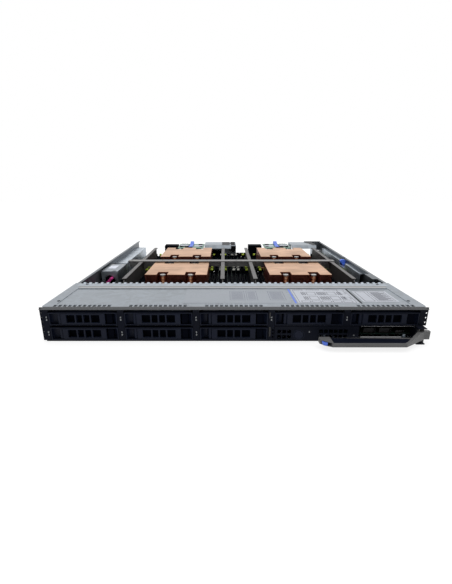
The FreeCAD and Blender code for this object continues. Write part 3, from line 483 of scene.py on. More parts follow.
def spangle_group():
    """Zinc crystals: a random tone for each Voronoi cell, broken up by a finer noise."""
    tree, given, out = new_group("Zinc spangle", {"Scale": 150.0, "Fine Scale": 900.0}, ["Tone", "Height"])
    cells = add_node(tree, "ShaderNodeTexVoronoi", {"Vector": object_place(tree), "Scale": given["Scale"]})
    tone = add_node(tree, "ShaderNodeSeparateColor", {"Color": cells.outputs["Color"]}).outputs[0]
    fine = noise(tree, object_place(tree), given["Fine Scale"], 4.0)
    broad = noise(tree, object_place(tree), 9.0, 3.0)
    blend = weighted(tree, tone, 0.45, fine, 0.25)
    blend = maths(tree, "ADD", blend, maths(tree, "MULTIPLY", broad, 0.4), clamp=True)
    tree.links.new(blend, out["Tone"])
    tree.links.new(fine, out["Height"])
    return tree


def grain_group():
    """Moulded grain: fine noise for the texture of the tool, and broad noise for uneven gloss."""
    tree, given, out = new_group("Moulded grain", {"Scale": 1800.0, "Broad Scale": 30.0}, ["Tone", "Height"])
    fine = noise(tree, object_place(tree), given["Scale"], 2.0, Roughness=0.6)
    broad = noise(tree, object_place(tree), given["Broad Scale"], 5.0)
    tree.links.new(broad, out["Tone"])
    tree.links.new(fine, out["Height"])
    return tree


def brushing_group():
    """Brush lines: noise drawn out along one axis by a different scale for each axis."""
    tree, given, out = new_group("Brush lines", {"Stretch": (14.0, 900.0, 900.0)}, ["Tone", "Height"])
    lines = noise(tree, stretched(tree, given["Stretch"]), 1.0, 5.0, Roughness=0.65)
    clouds = noise(tree, object_place(tree), 22.0, 4.0)
    tone = weighted(tree, lines, 0.65, clouds, 0.45)
    tree.links.new(maths(tree, "SUBTRACT", tone, 0.05, clamp=True), out["Tone"])
    tree.links.new(lines, out["Height"])
    return tree


def handling_group():
    """Marks of use: dust on faces that look up, and thin scuffs where two stretched noises cross a level."""
    tree, given, out = new_group("Handling marks", {"Dust": 0.3, "Scuffs": 0.3}, ["Dust", "Scuff"])
    up = normal_rise(tree)
    cloud = noise(tree, object_place(tree), 45.0, 6.0, Roughness=0.7)
    cloud = ranged(tree, cloud, 0.0, 1.0, 0.4, 0.75)
    dust = maths(tree, "MULTIPLY", maths(tree, "MAXIMUM", up, 0.0), cloud)
    tree.links.new(maths(tree, "MULTIPLY", dust, given["Dust"], clamp=True), out["Dust"])
    scratch = None
    for scale in ((25.0, 420.0, 420.0), (380.0, 30.0, 380.0)):
        line = ranged(tree, noise(tree, stretched(tree, scale), 1.0, 1.0), 0.0, 1.0, 0.66, 0.72)
        scratch = line if scratch is None else maths(tree, "MAXIMUM", scratch, line)
    tree.links.new(maths(tree, "MULTIPLY", scratch, given["Scuffs"], clamp=True), out["Scuff"])
    return tree


def effect(tree, name, **values):
    """Places one of the shared groups in a material, with its own values."""
    made = tree.nodes.new("ShaderNodeGroup")
    made.node_tree = GROUPS[name]
    for label, value in values.items():
        made.inputs[label.replace("_", " ")].default_value = value
    return made.outputs


def new_finish(name, metallic=0.0, specular=0.5):
    material = bpy.data.materials.new(name)
    material.use_nodes = True
    tree = material.node_tree
    shader = tree.nodes["Principled BSDF"]
    shader.inputs["Metallic"].default_value = metallic
    shader.inputs["Specular IOR Level"].default_value = specular
    return material, tree, shader


def linear(colour):
    """A colour of the sidebar with its alpha."""
    return (colour[0], colour[1], colour[2], 1.0)


def darker(colour, share):
    return (colour[0] * share, colour[1] * share, colour[2] * share, 1.0)


def toned(tree, tone, colour, low, high):
    """A colour that goes from its low share to its high share with a tone."""
    return mixed(tree, tone, darker(colour, low), darker(colour, high))


def set_surface(tree, shader, colour, roughness, normal):
    tree.links.new(colour, shader.inputs["Base Color"])
    tree.links.new(roughness, shader.inputs["Roughness"])
    tree.links.new(normal, shader.inputs["Normal"])


def upward(tree):
    """One on faces that look up, zero on upright ones."""
    return ranged(tree, normal_rise(tree), 0.0, 1.0, 0.4, 0.8)


def zinc_finish(name, colour, front_colour=None, front_y=0.0, metallic=1.0):
    """Galvanised sheet with crystals, dust and scuffs; a plain colour without metal takes over in front of
    front_y.
    """
    material, tree, shader = new_finish(name, metallic, specular=0.2)
    spangle = effect(tree, "spangle", Scale=170.0, Fine_Scale=1100.0)
    marks = effect(tree, "handling", Dust=0.35, Scuffs=0.4)
    surface = toned(tree, spangle["Tone"], colour, 0.66, 1.3)
    surface = mixed(tree, marks["Dust"], surface, darker(colour, 1.3))
    rough = ranged(tree, spangle["Tone"], 0.34, 0.52)
    rough = maths(tree, "SUBTRACT", rough, maths(tree, "MULTIPLY", marks["Scuff"], 0.12), clamp=True)
    # In front of front_y a plain front colour replaces the zinc; on the cover it is painted shade on the lip.
    if front_colour is not None:
        y = add_node(tree, "ShaderNodeSeparateXYZ", {"Vector": object_place(tree)}).outputs["Y"]
        front = maths(tree, "LESS_THAN", y, front_y)
        surface = mixed(tree, front, surface, linear(front_colour))
        bare = maths(tree, "SUBTRACT", 1.0, front)
        tree.links.new(maths(tree, "MULTIPLY", bare, metallic), shader.inputs["Metallic"])
    set_surface(tree, shader, surface, rough, bumped(tree, spangle["Height"], 0.12, 0.0002))
    return material


def plastic_finish(name, colour, gloss, grain=0.25, dust=0.15, scale=1800.0, specular=0.5, side=1.0):
    """Moulded plastic or powder coat: grain, uneven gloss and dust; side is the tone's share on the sides, as
    painted shade.
    """
    material, tree, shader = new_finish(name, specular=specular)
    moulded = effect(tree, "grain", Scale=scale, Broad_Scale=40.0)
    marks = effect(tree, "handling", Dust=dust, Scuffs=0.2)
    surface = toned(tree, moulded["Tone"], colour, 0.72, 1.3)
    # Faces that don't look up take side times the colour: painted shade on the sides.
    if side != 1.0:
        upright = toned(tree, moulded["Tone"], colour, 0.72 * side, 1.3 * side)
        surface = mixed(tree, upward(tree), upright, surface)
    surface = mixed(tree, marks["Dust"], surface, (0.32, 0.32, 0.33, 1.0))
    scuff = maths(tree, "MULTIPLY", marks["Scuff"], dust)
    surface = mixed(tree, scuff, surface, (0.4, 0.4, 0.42, 1.0))
    rough = ranged(tree, moulded["Tone"], gloss - 0.1, gloss + 0.14)
    set_surface(tree, shader, surface, rough, bumped(tree, moulded["Height"], grain, 0.00015))
    return material


def copper_finish(name, colour, fin_oxide_and_shade_colour):
    """Copper: brush lines along X, and another, darker colour on the sides of the fins, for oxide and painted
    shade.
    """
    material, tree, shader = new_finish(name, 1.0)
    brush = effect(tree, "brushing", Stretch=(16.0, 1000.0, 300.0))
    streak = effect(tree, "brushing", Stretch=(45.0, 230.0, 200.0))
    tone = weighted(tree, brush["Tone"], 0.4, streak["Tone"], 0.6)
    tone = ranged(tree, tone, 0.0, 1.0, 0.3, 0.72)
    top = toned(tree, tone, colour, 0.5, 1.3)
    # Fin sides take the darker colour: partly oxide, partly painted shade between the fins.
    side = toned(tree, tone, fin_oxide_and_shade_colour, 0.7, 1.25)
    rough = ranged(tree, tone, 0.46, 0.32)
    surface = mixed(tree, upward(tree), side, top)
    set_surface(tree, shader, surface, rough, bumped(tree, brush["Height"], 0.18, 0.0002))
    return material


def board_finish(name, colour, trace):
    """Circuit board: lacquer, traces in three directions where bands meet a noise mask, and bright pads."""
    material, tree, shader = new_finish(name, specular=0.05)
    grain = effect(tree, "grain", Scale=900.0, Broad_Scale=25.0)
    lines = None
    for turn in (0.0, 90.0, 45.0):
        place = add_node(tree, "ShaderNodeMapping", {"Vector": object_place(tree)})
        place.inputs["Rotation"].default_value = (0.0, 0.0, math.radians(turn))
        inputs = {"Vector": place.outputs["Vector"], "Scale": 260.0, "Distortion": 0.0}
        band = add_node(tree, "ShaderNodeTexWave", inputs).outputs["Fac"]
        mask = noise(tree, place.outputs["Vector"], 70.0 + turn, 0.0)
        band = ranged(tree, band, 0.0, 1.0, 0.62, 0.7)
        part = maths(tree, "MULTIPLY", band, ranged(tree, mask, 0.0, 1.0, 0.52, 0.56))
        lines = part if lines is None else maths(tree, "MAXIMUM", lines, part)
    pads = add_node(tree, "ShaderNodeTexVoronoi", {"Vector": object_place(tree), "Scale": 320.0})
    dots = ranged(tree, pads.outputs["Distance"], 1.0, 0.0, 0.12, 0.16)
    surface = toned(tree, grain["Tone"], colour, 0.75, 1.25)
    surface = mixed(tree, maths(tree, "MULTIPLY", lines, 0.8), surface, linear(trace))
    surface = mixed(tree, maths(tree, "MULTIPLY", dots, 0.5), surface, (0.45, 0.42, 0.3, 1.0))
    rough = ranged(tree, grain["Tone"], 0.3, 0.48)
    set_surface(tree, shader, surface, rough, bumped(tree, maths(tree, "ADD", lines, dots), 0.2, 0.0001))
    return material


def paper_finish(name, colour):
    """Label stock: a faint grain, a soft sheen, and broad patches of slightly different tone."""
    material, tree, shader = new_finish(name)
    grain = effect(tree, "grain", Scale=700.0, Broad_Scale=12.0)
    marks = effect(tree, "handling", Dust=0.2, Scuffs=0.25)
    surface = toned(tree, grain["Tone"], colour, 0.86, 1.08)
    surface = mixed(tree, marks["Scuff"], surface, darker(colour, 0.8))
    rough = ranged(tree, grain["Height"], 0.35, 0.55)
    set_surface(tree, shader, surface, rough, bumped(tree, grain["Height"], 0.08, 0.0001))
    return material


def metal_finish(name, colour, rough_low, rough_high):
    """Turned or plated metal with fine lines and small changes of tone."""
    material, tree, shader = new_finish(name, 1.0)
    brush = effect(tree, "brushing", Stretch=(700.0, 700.0, 60.0))
    surface = toned(tree, brush["Tone"], colour, 0.75, 1.2)
    rough = ranged(tree, brush["Tone"], rough_low, rough_high)
    set_surface(tree, shader, surface, rough, bumped(tree, brush["Height"], 0.1, 0.0001))
    return material


def lens_finish(name, colour):
    """Frosted clear plastic that passes some light, cloudy inside."""
    material, tree, shader = new_finish(name)
    grain = effect(tree, "grain", Scale=1500.0, Broad_Scale=200.0)
    surface = toned(tree, grain["Tone"], colour, 0.8, 1.1)
    rough = ranged(tree, grain["Tone"], 0.12, 0.3)
    set_surface(tree, shader, surface, rough, bumped(tree, grain["Height"], 0.1, 0.0001))
    shader.inputs["Transmission Weight"].default_value = 0.35
    shader.inputs["IOR"].default_value = 1.49
    return material


# Sizes and colours that a user may change

def colour_property(name, description, default):
    return bpy.props.FloatVectorProperty(name=name, description=description, default=default, subtype="COLOR",
                                         size=3, min=0.0, max=1.0)


def length_property(name, description, default):
    return bpy.props.FloatProperty(name=name, description=description, default=default, min=0.0,
                                   unit="LENGTH", precision=5)


def power_property(name, description, default):
    return bpy.props.FloatProperty(name=name, description=description, default=default, min=0.0, unit="POWER")


class SledColours(bpy.types.PropertyGroup):
    """Colours of the finishes, in linear light."""

    zinc: colour_property("Zinc", "Galvanised sheet", (0.385, 0.424, 0.468))
    beam: colour_property("Beam steel", "Cross member over the heatsinks", (0.262, 0.258, 0.256))
    # The lip colour is painted shade: the lip is the cover's own galvanised sheet, dark where its front face
    # is shaded.
    lip: colour_property("Lip shade", "Front lip of the cover", (0.155, 0.159, 0.167))
    cage: colour_property("Cage coat", "Black coat of the drive cage", (0.0045, 0.0058, 0.0115))
    carrier: colour_property("Carrier plastic", "Drive carriers and levers", (0.0066, 0.0092, 0.0205))
    copper: colour_property("Copper", "Top of the heatsinks", (0.71, 0.43, 0.262))
    # Fin sides: darker for oxide and for painted shade in the channels between the fins.
    copper_fin_oxide_and_shade: colour_property("Copper fins", "Sides of the fins", (0.33, 0.1, 0.075))
    board: colour_property("Board lacquer", "System board", (0.005, 0.009, 0.008))
    card: colour_property("Card lacquer", "Network cards", (0.16, 0.27, 0.22))
    socket: colour_property("Socket plastic", "Memory sockets and connectors", (0.0032, 0.0038, 0.0062))
    latch_green: colour_property("Green latch", "Green memory latches", (0.6, 0.76, 0.06))
    latch_white: colour_property("White latch", "White memory latches", (0.72, 0.72, 0.66))
    rail: colour_property("Rail plastic", "Air rails", (0.125, 0.12, 0.12))
    touch: colour_property("Touch blue", "Clips, straps and the handle's button", (0.075, 0.17, 0.72))
    magenta: colour_property("Pull magenta", "Tab in the card cage", (0.72, 0.05, 0.31))
    handle: colour_property("Handle grey", "Ejector handle", (0.12, 0.12, 0.121))
    paper: colour_property("Label stock", "Blank labels", (0.50, 0.525, 0.585))
    ink: colour_property("Diagram ink", "Lines on the labels", (0.06, 0.065, 0.088))


class SledSizes(bpy.types.PropertyGroup):
    """Sizes of the small pieces that the scene adds."""

    sheet_edge: length_property("Sheet edge", "Rounding of the sheet metal's edges", 0.0002)
    plastic_edge: length_property("Plastic edge", "Rounding of the plastic's edges", 0.00035)
    fin_thickness: length_property("Fin thickness", "Thickness of one heatsink fin", 0.00055)
    label_thickness: length_property("Label thickness", "Thickness of a label", 0.00015)
    spring_wire: length_property("Spring wire", "Diameter of the screw springs' wire", 0.0013)
    fins: bpy.props.IntProperty(name="Fins", description="Fins in one heatsink", default=76, min=8, max=120)
    spring_turns: bpy.props.FloatProperty(name="Spring turns", description="Turns of each screw's spring",
                                          default=6.0, min=1.0, max=12.0)
    seed: bpy.props.IntProperty(name="Seed", description="Seed of the scatter of small parts", default=11)


class SledStage(bpy.types.PropertyGroup):
    """Floor, light and camera."""

    floor: colour_property("Floor", "Colour of the floor", (0.9, 0.9, 0.9))
    shadow_reach: bpy.props.FloatVectorProperty(
        name="Shadow reach", description="Where the floor's shadow fades out", size=2, default=(0.4, 1.0),
        unit="LENGTH")
    key: power_property("Key light", "Power of the light overhead", 34.0)
    fill: power_property("Fill light", "Power of the light in front", 5.0)
    sky: bpy.props.FloatProperty(
        name="Surround", description="Brightness of the room's soft light", default=0.22, min=0.0, max=2.0)
    lens: bpy.props.FloatProperty(
        name="Lens", description="Focal length of the camera in mm", default=24.45, min=8.0, max=200.0)
    pitch: bpy.props.FloatProperty(
        name="Pitch", description="How far the camera looks down", default=math.radians(20.42),
        subtype="ANGLE")
    camera_place: bpy.props.FloatVectorProperty(
        name="Camera place", description="Where the camera stands", size=3,
        default=(-0.0104, -0.6791, 0.1691), subtype="XYZ", unit="LENGTH")
    principal: bpy.props.FloatVectorProperty(
        name="Principal point", description="Pixel on the camera's axis", size=2, default=(224.5, 330.0))


# Operators

class SLED_OT_finishes(bpy.types.Operator):
    """Makes the shared node groups and every finish"""

    bl_idname = "sled.finishes"
    bl_label = "Finishes"

    def execute(self, context):
        colours = context.scene.sled_colours
        GROUPS.update(spangle=spangle_group(), grain=grain_group(), brushing=brushing_group(),
                      handling=handling_group())
        FINISHES.update(
            zinc=zinc_finish("Zinc sheet", colours.zinc),
            # The wall sheet is the zinc at 0.4 as painted shade on walls that face the dark inside; its front
            # 16 mm is black.
            wall=zinc_finish("Shaded wall sheet", darker(colours.zinc, 0.4), colours.cage,
                             (FRONT + 16.0) * MM, metallic=0.75),
            card_cage=zinc_finish("Card cage sheet", darker(colours.zinc, 0.82)),
            bracket=zinc_finish("Bracket sheet", darker(colours.zinc, 1.4)),
            beam=zinc_finish("Beam sheet", colours.beam),
            # The cover's lip, its front 1.3 mm, takes the lip colour as painted shade.
            cover=zinc_finish("Cover sheet", darker(colours.zinc, 0.82), colours.lip, (FRONT + 1.3) * MM),
            floor=zinc_finish("Floor sheet", colours.zinc, colours.cage, (FRONT + 3.0) * MM),
            cage=plastic_finish("Cage coat", colours.cage, gloss=0.5, grain=0.3, dust=0.02,
                                scale=2400.0, specular=0.07),
            carrier=plastic_finish("Carrier plastic", colours.carrier, gloss=0.42, grain=0.2, dust=0.02,
                                   specular=0.13),
            copper=copper_finish("Copper", colours.copper, colours.copper_fin_oxide_and_shade),
            board=board_finish("Board lacquer", colours.board, (0.02, 0.05, 0.04)),
            card=board_finish("Card lacquer", colours.card, (0.3, 0.42, 0.35)),
            # The shade finish is the carrier plastic at 0.3: painted shade in the recess behind each lever
            # and on the buttons.
            shade=plastic_finish("Carrier recess shade", darker(colours.carrier, 0.3), gloss=0.6, dust=0.0,
                                 specular=0.02),
            socket=plastic_finish("Socket plastic", colours.socket, gloss=0.5, dust=0.01, specular=0.004),
            latch_green=plastic_finish("Green latch", colours.latch_green, gloss=0.4, dust=0.1),
            latch_white=plastic_finish("White latch", colours.latch_white, gloss=0.4, dust=0.1),
            # The rail's sides keep 0.3 of its colour as painted shade.
            rail=plastic_finish("Rail plastic", colours.rail, gloss=0.5, dust=0.2, specular=0.25, side=0.3),
            touch=plastic_finish("Touch blue", colours.touch, gloss=0.38, dust=0.05),
            # The clip's finish is the touch blue at 1.6: painted light on the clip's shaded upright face.
            clip=plastic_finish("Lit clip blue", darker(colours.touch, 1.6), gloss=0.42, dust=0.05),
            magenta=plastic_finish("Pull magenta", colours.magenta, gloss=0.38, dust=0.05),
            handle=plastic_finish("Handle grey", colours.handle, gloss=0.4, grain=0.2, dust=0.1,
                                  scale=2600.0, specular=0.3),
            insert=plastic_finish("Handle insert", darker(colours.carrier, 0.6), gloss=0.5, dust=0.0,
                                  specular=0.08),
            paper=paper_finish("Label stock", colours.paper),
            white=paper_finish("White label", darker(colours.paper, 1.5)),
            film=paper_finish("Clear film", (0.305, 0.333, 0.372)),
            ink=plastic_finish("Diagram ink", colours.ink, gloss=0.5, grain=0.05),
            pad=plastic_finish("Cage pad", darker(colours.lip, 0.5), gloss=0.6, grain=0.2, specular=0.06),
            faint=plastic_finish("Faint ink", darker(colours.ink, 2.6), gloss=0.5, grain=0.05),
            screw=metal_finish("Plated steel", (0.55, 0.54, 0.53), 0.22, 0.42),
            tin=metal_finish("Tinned shell", (0.5, 0.5, 0.51), 0.28, 0.45),
            gold=metal_finish("Contact gold", (0.8, 0.58, 0.24), 0.2, 0.38),
            # The contacts' near black is painted shade on the contacts down in the memory sockets' slots.
            contact=metal_finish("Shaded contact", (0.014, 0.01, 0.005), 0.5, 0.6),
            spring=metal_finish("Spring bronze", (0.62, 0.33, 0.19), 0.3, 0.45),
            port=metal_finish("Port shell", (0.028, 0.028, 0.03), 0.35, 0.5),
            disk=metal_finish("Disk case", (0.3, 0.31, 0.32), 0.35, 0.5),
            chip=plastic_finish("Chip resin", (0.008, 0.008, 0.009), gloss=0.5, grain=0.35, dust=0.05,
                                specular=0.03),
            ferrite=plastic_finish("Coil ferrite", (0.075, 0.074, 0.072), gloss=0.6, grain=0.4, scale=1400.0),
            tan=plastic_finish("Capacitor clay", (0.32, 0.24, 0.15), gloss=0.5, grain=0.2),
            lens=lens_finish("Frosted lens", (0.4, 0.42, 0.44)),
        )
        return {"FINISHED"}


def sheet_edge(context):
    return context.scene.sled_sizes.sheet_edge / MM


def plastic_edge(context):
    return context.scene.sled_sizes.plastic_edge / MM


class SLED_OT_sheet_metal(bpy.types.Operator):
    """Gives the chassis, cages and brackets rounded edges, and zinc or a black coat"""

    bl_idname = "sled.sheet_metal"
    bl_label = "Sheet metal"

    def execute(self, context):
        edge = sheet_edge(context)
        # The side walls take the shaded wall sheet: painted shade.
        sheets = {"chassis_floor": "floor", "side_walls": "wall", "cross_member": "beam",
                  "card_cage": "card_cage", "side_duct": "bracket", "side_bracket": "bracket",
                  "rear_card_cages": "zinc"}
        for node, finish in sheets.items():
            edged(node, [finish], edge)
        edged("drive_cage", ["cage"], edge)
        edged("io_panel", ["cage"], edge)
        # A dark sheet behind the left ear's holes, so they read dark: painted shade.
        ear_low, ear_high, ear_out, ear_in = 2.0, 36.5, -215.0, -212.3
        outline = rectangle(ear_low, ear_high, ear_out, ear_in)
        backing = plate(outline, FRONT + 2.7, FRONT + 3.1, 0.05, axis=1)
        make_piece("ear_hole_shade", backing, "handle")
        return {"FINISHED"}


class SLED_OT_cover(bpy.types.Operator):
    """Finishes the drive bay cover, with a bead, flat bands and spring fingers along its rear"""

    bl_idname = "sled.cover"
    bl_label = "Drive bay cover"

    def execute(self, context):
        edged("drive_bay_cover", ["cover"], sheet_edge(context))
        top = COVER_HIGH[2]
        self.bead(top)
        # The first band, just in front of the bead, is a painted shadow line in the shaded wall sheet.
        bands = {"cover_groove": (BEAD_HALF, 32.6, 31.3, "wall"), "cover_crease": (201.0, 23.9, 18.9, "beam"),
                 "cover_strip": (205.0, 18.7, 5.0, "zinc")}
        for name, (reach, start, end, finish) in bands.items():
            outline = rectangle(-reach, reach, COVER_HIGH[1] - start, COVER_HIGH[1] - end)
            make_piece(name, plate(outline, top - 0.05, top + 0.05, 0.02), finish)
        self.spring_fingers(top)
        return {"FINISHED"}

    def bead(self, top):
        """A half round (-width cos t, rise sin t) across Y, carried along X and drawn in at both ends."""
        width, rise = 1.7, 0.3
        angle = np.linspace(0.0, math.pi, 9)
        across = np.column_stack([-width * np.cos(angle), rise * np.sin(angle)])
        along = np.array([-BEAD_HALF - width, -BEAD_HALF, BEAD_HALF, BEAD_HALF + width])
        size = np.array([0.05, 1.0, 1.0, 0.05])
        rings = np.zeros((len(along), len(angle), 3))
        rings[:, :, 0] = along[:, None]
        rings[:, :, 1] = COVER_HIGH[1] - 25.5 + size[:, None] * across[None, :, 0]
        rings[:, :, 2] = top - 0.05 + size[:, None] * across[None, :, 1]
        # The bead takes the tin finish, brighter than the cover's sheet, as a painted highlight.
        make_piece("cover_bead_highlight", loft(rings), "tin")

    def spring_fingers(self, top):
        """Each finger rises and falls as a sine along Y, over the metal between two notches."""
        count = int((2 * WALL_OUT - FINGER_PITCH) / FINGER_PITCH) - 1
        xs = (np.arange(count) - (count - 1) / 2) * FINGER_PITCH
        length, rise, thick, half = 4.4, 1.3, 0.3, 1.7
        t = np.linspace(0.0, 1.0, 9)
        path = np.column_stack([COVER_HIGH[1] - 4.6 + length * t, top + 0.02 + rise * np.sin(math.pi * t)])
        under = path - np.array([0.0, thick])
        outline = np.concatenate([path, under[::-1]])
        rings = [np.column_stack([np.full(len(outline), x), outline]) for x in (-half, half)]
        fingers = copies(flipped(loft(rings)), [(x, 0.0, 0.0) for x in xs])
        make_piece("cover_spring_fingers", fingers, "bracket")


class SLED_OT_labels(bpy.types.Operator):
    """Lays labels with plain diagrams on the cover and a blank label on the card cage"""

    bl_idname = "sled.labels"
    bl_label = "Labels"

    def execute(self, context):
        thick = context.scene.sled_sizes.label_thickness / MM
        recess = 0.5
        floor = COVER_HIGH[2] - recess
        level = floor + thick
        front, rear = FRONT + 16.0, COVER_HIGH[1] - 32.0
        sheets = {"film": (-58.0, 66.0, front, rear, "film"), "layout": (73.5, 143.0, front, rear, "paper"),
                  "right": (149.0, 191.0, front + 5.0, rear - 8.0, "paper")}
        for name, (x0, x1, y0, y1, finish) in sheets.items():
            sheet = plate(rounded(x0, x1, y0, y1, 1.5), floor, level, LABEL_RIM)
            make_piece("label_" + name, sheet, finish)
        strips = {"stripe": (70.0, 72.2, 0.0, "touch_blue", "touch"),
                  "seam": (144.4, 146.2, 1.0, "socket_black", "chip")}
        for name, (x0, x1, past, slot, finish) in strips.items():
            outline = rectangle(x0, x1, front - past, rear + past)
            make_piece("label_" + name, plate(outline, floor, level, LABEL_RIM), finish)
        diagrams = {"film": (self.film_lines, "faint"), "layout": (self.layout_lines, "ink"),
                    "right": (self.right_lines, "ink")}
        for name, (draw, finish) in diagrams.items():
            low, high = draw(sheets[name], level)
            make_piece("diagram_" + name, boxes(low, high, 0.01), finish)
        self.cage_label(thick)
        return {"FINISHED"}

    def cage_label(self, thick):
        """A blank label and a dark slot, as flat plates on top of the card cage; the slot's dark plate is
        painted shade.
        """
        low, high = node_box("card_cage")
        top = high[2]
        left, right, front, rear = 5, 9, 22, 14
        outline = rounded(low[0] + left, high[0] - right, low[1] + front, high[1] - rear, 1.5)
        sheet = plate(outline, top, top + thick, LABEL_RIM)
        make_piece("cage_label", sheet, "white")
        outline = rectangle(high[0] - 8.5, high[0] - 3.5, low[1] + 0.8, low[1] + 4.2)
        slot = plate(outline, top, top + 0.1, 0.02)
        make_piece("cage_slot_shade", slot, "socket")

    def frames(self, starts, ends, level, width=0.5):
        """Four thin bars round each rectangle, from its lowest to its highest corner."""
        starts, ends = np.asarray(starts, float), np.asarray(ends, float)
        (x0, y0), (x1, y1) = starts.T, ends.T
        low = np.concatenate([starts, starts, np.column_stack([x1 - width, y0]),
                              np.column_stack([x0, y1 - width])])
        high = np.concatenate([np.column_stack([x1, y0 + width]), np.column_stack([x0 + width, y1]),
                               ends, ends])
        return self.bars(low, high, level)

    def bars(self, low, high, level):
        """Flat ink bars on a label, from plan corners."""
        low, high = np.asarray(low, float), np.asarray(high, float)
        under = np.full(len(low), level - 0.02)
        over = np.full(len(low), level + 0.04)
        return np.column_stack([low, under]), np.column_stack([high, over])

    def merged(self, *parts):
        """Joins pairs of lowest and highest corners into one pair."""
        return tuple(np.concatenate(side) for side in zip(*parts))

    def film_lines(self, sheet, level):
        """Three framed columns, each with rows of short bars."""
        x0, front, rear = sheet[0], sheet[2], sheet[3]
        lefts = np.array([x0 + 54.0, x0 + 74.0, x0 + 101.0])
        rights = lefts + np.array([18.0, 13.0, 19.0])
        starts = np.column_stack([lefts, np.full(3, front + 12.0)])
        ends = np.column_stack([rights, np.full(3, rear - 10.0)])
        rows = np.arange(front + 16.0, rear - 13.0, 3.2)
        spots = np.array([(left + 2.0, right - 2.0, y) for left, right in zip(lefts, rights) for y in rows])
        low = spots[:, [0, 2]]
        high = np.column_stack([spots[:, 1], spots[:, 2] + 1.1])
        return self.merged(self.frames(starts, ends, level, 0.6), self.bars(low, high, level))

    def layout_lines(self, sheet, level):
        """A plain plan: four squares, the bars of the sockets beside them, and a row of bays in front."""
        x0, x1, front, rear = sheet[:4]
        squares = np.array([(x0 + 17.0 + 25.0 * i, front + 14.0 + 20.0 * j)
                            for i in range(2) for j in range(2)])
        socket_pitch, bay_pitch = 1.9, 12.0
        steps = np.concatenate([np.arange(3) * socket_pitch + start for start in (-6.4, 13.0)])
        sockets = (squares[:, None] + np.column_stack([steps, np.zeros(6)])[None]).reshape(-1, 2)
        bays = np.column_stack([x0 + 5.0 + np.arange(5) * bay_pitch, np.full(5, front + 3.0)])
        square, socket, bay = np.array([(11.0, 14.0), (1.0, 14.0), (10.5, 7.0)])
        parts = np.array([(x0 + 4.0, rear - 7.0), (x0 + 20.0, rear - 6.0), (x0 + 42.0, rear - 7.5),
                          (x1 - 12.0, rear - 24.0), (x1 - 11.0, front + 16.0)])
        part_size = np.array([(11.0, 4.0), (16.0, 3.0), (17.0, 4.5), (8.0, 17.0), (7.0, 9.0)])
        return self.merged(self.frames([(x0 + 2.0, front + 1.5)], [(x1 - 2.0, rear - 1.5)], level),
                           self.frames(squares, squares + square, level, 0.7),
                           self.bars(sockets, sockets + socket, level),
                           self.frames(bays, bays + bay, level, 0.6),
                           self.frames(parts, parts + part_size, level, 0.6))

    def right_lines(self, sheet, level):
        """Two framed panels with rows of bars, and a dark heading bar along the rear edge."""
        x0, x1, front, rear = sheet[:4]
        starts = np.array([(x0 + 3.0, front + 3.0), (x0 + 18.0, front + 3.0)])
        ends = np.array([(x0 + 15.0, rear - 6.0), (x1 - 3.0, rear - 6.0)])
        rows = np.arange(front + 6.0, rear - 9.0, 2.6)
        low = np.array([(x0 + 20.5, y) for y in rows])
        high = low + np.column_stack([16.5 - 5.0 * (np.arange(len(rows)) % 3 == 1), np.full(len(rows), 1.5)])
        heading = self.bars([(x0, rear - 2.2)], [(x1, rear)], level)
        return self.merged(self.frames(starts, ends, level, 0.6), self.bars(low, high, level), heading)


class SLED_OT_carriers(bpy.types.Operator):
    """Finishes the drives: carrier frames and levers in dark plastic, disks in metal with a blank label"""

    bl_idname = "sled.carriers"
    bl_label = "Drive carriers"

    def execute(self, context):
        edge = plastic_edge(context)
        for number in DRIVES:
            drive = "drive_%d" % number
            low, high = node_box(drive)
            middle = (low[0] + high[0]) / 2
            edged(drive, ["carrier", "disk", "shade"], edge, self.faces(middle))
            edged("drive_lever_%d" % number, ["carrier"], edge)
            # The button is drawn in the shade finish, as painted shade.
            edged("drive_button_%d" % number, ["shade"], edge)
            top = low[2] + DISK_HEIGHT
            outline = rounded(middle - 29, middle + 29, low[1] + 30, high[1] - 10, 2.0)
            sheet = plate(outline, top, top + STICKER, LABEL_RIM)
            make_piece("disk_label_%d" % number, sheet, "paper", drive)
        dress("light_pipes", "lens")
        return {"FINISHED"}

    def faces(self, middle):
        """Picks a drive face's finish: 1 for the disk, 2 for painted shade in the recess behind the lever,
        else 0.
        """
        def pick(spots):
            aside = np.abs(spots[:, 0] - middle)
            behind = spots[:, 1] - FRONT
            disk = (behind > DISK_START) & (aside < DISK_HALF)
            recess = (np.abs(behind - RECESS_MIDDLE) < RECESS_REACH) & (aside < RECESS_HALF)
            return np.where(disk, 1, np.where(recess, 2, 0))
        return pick


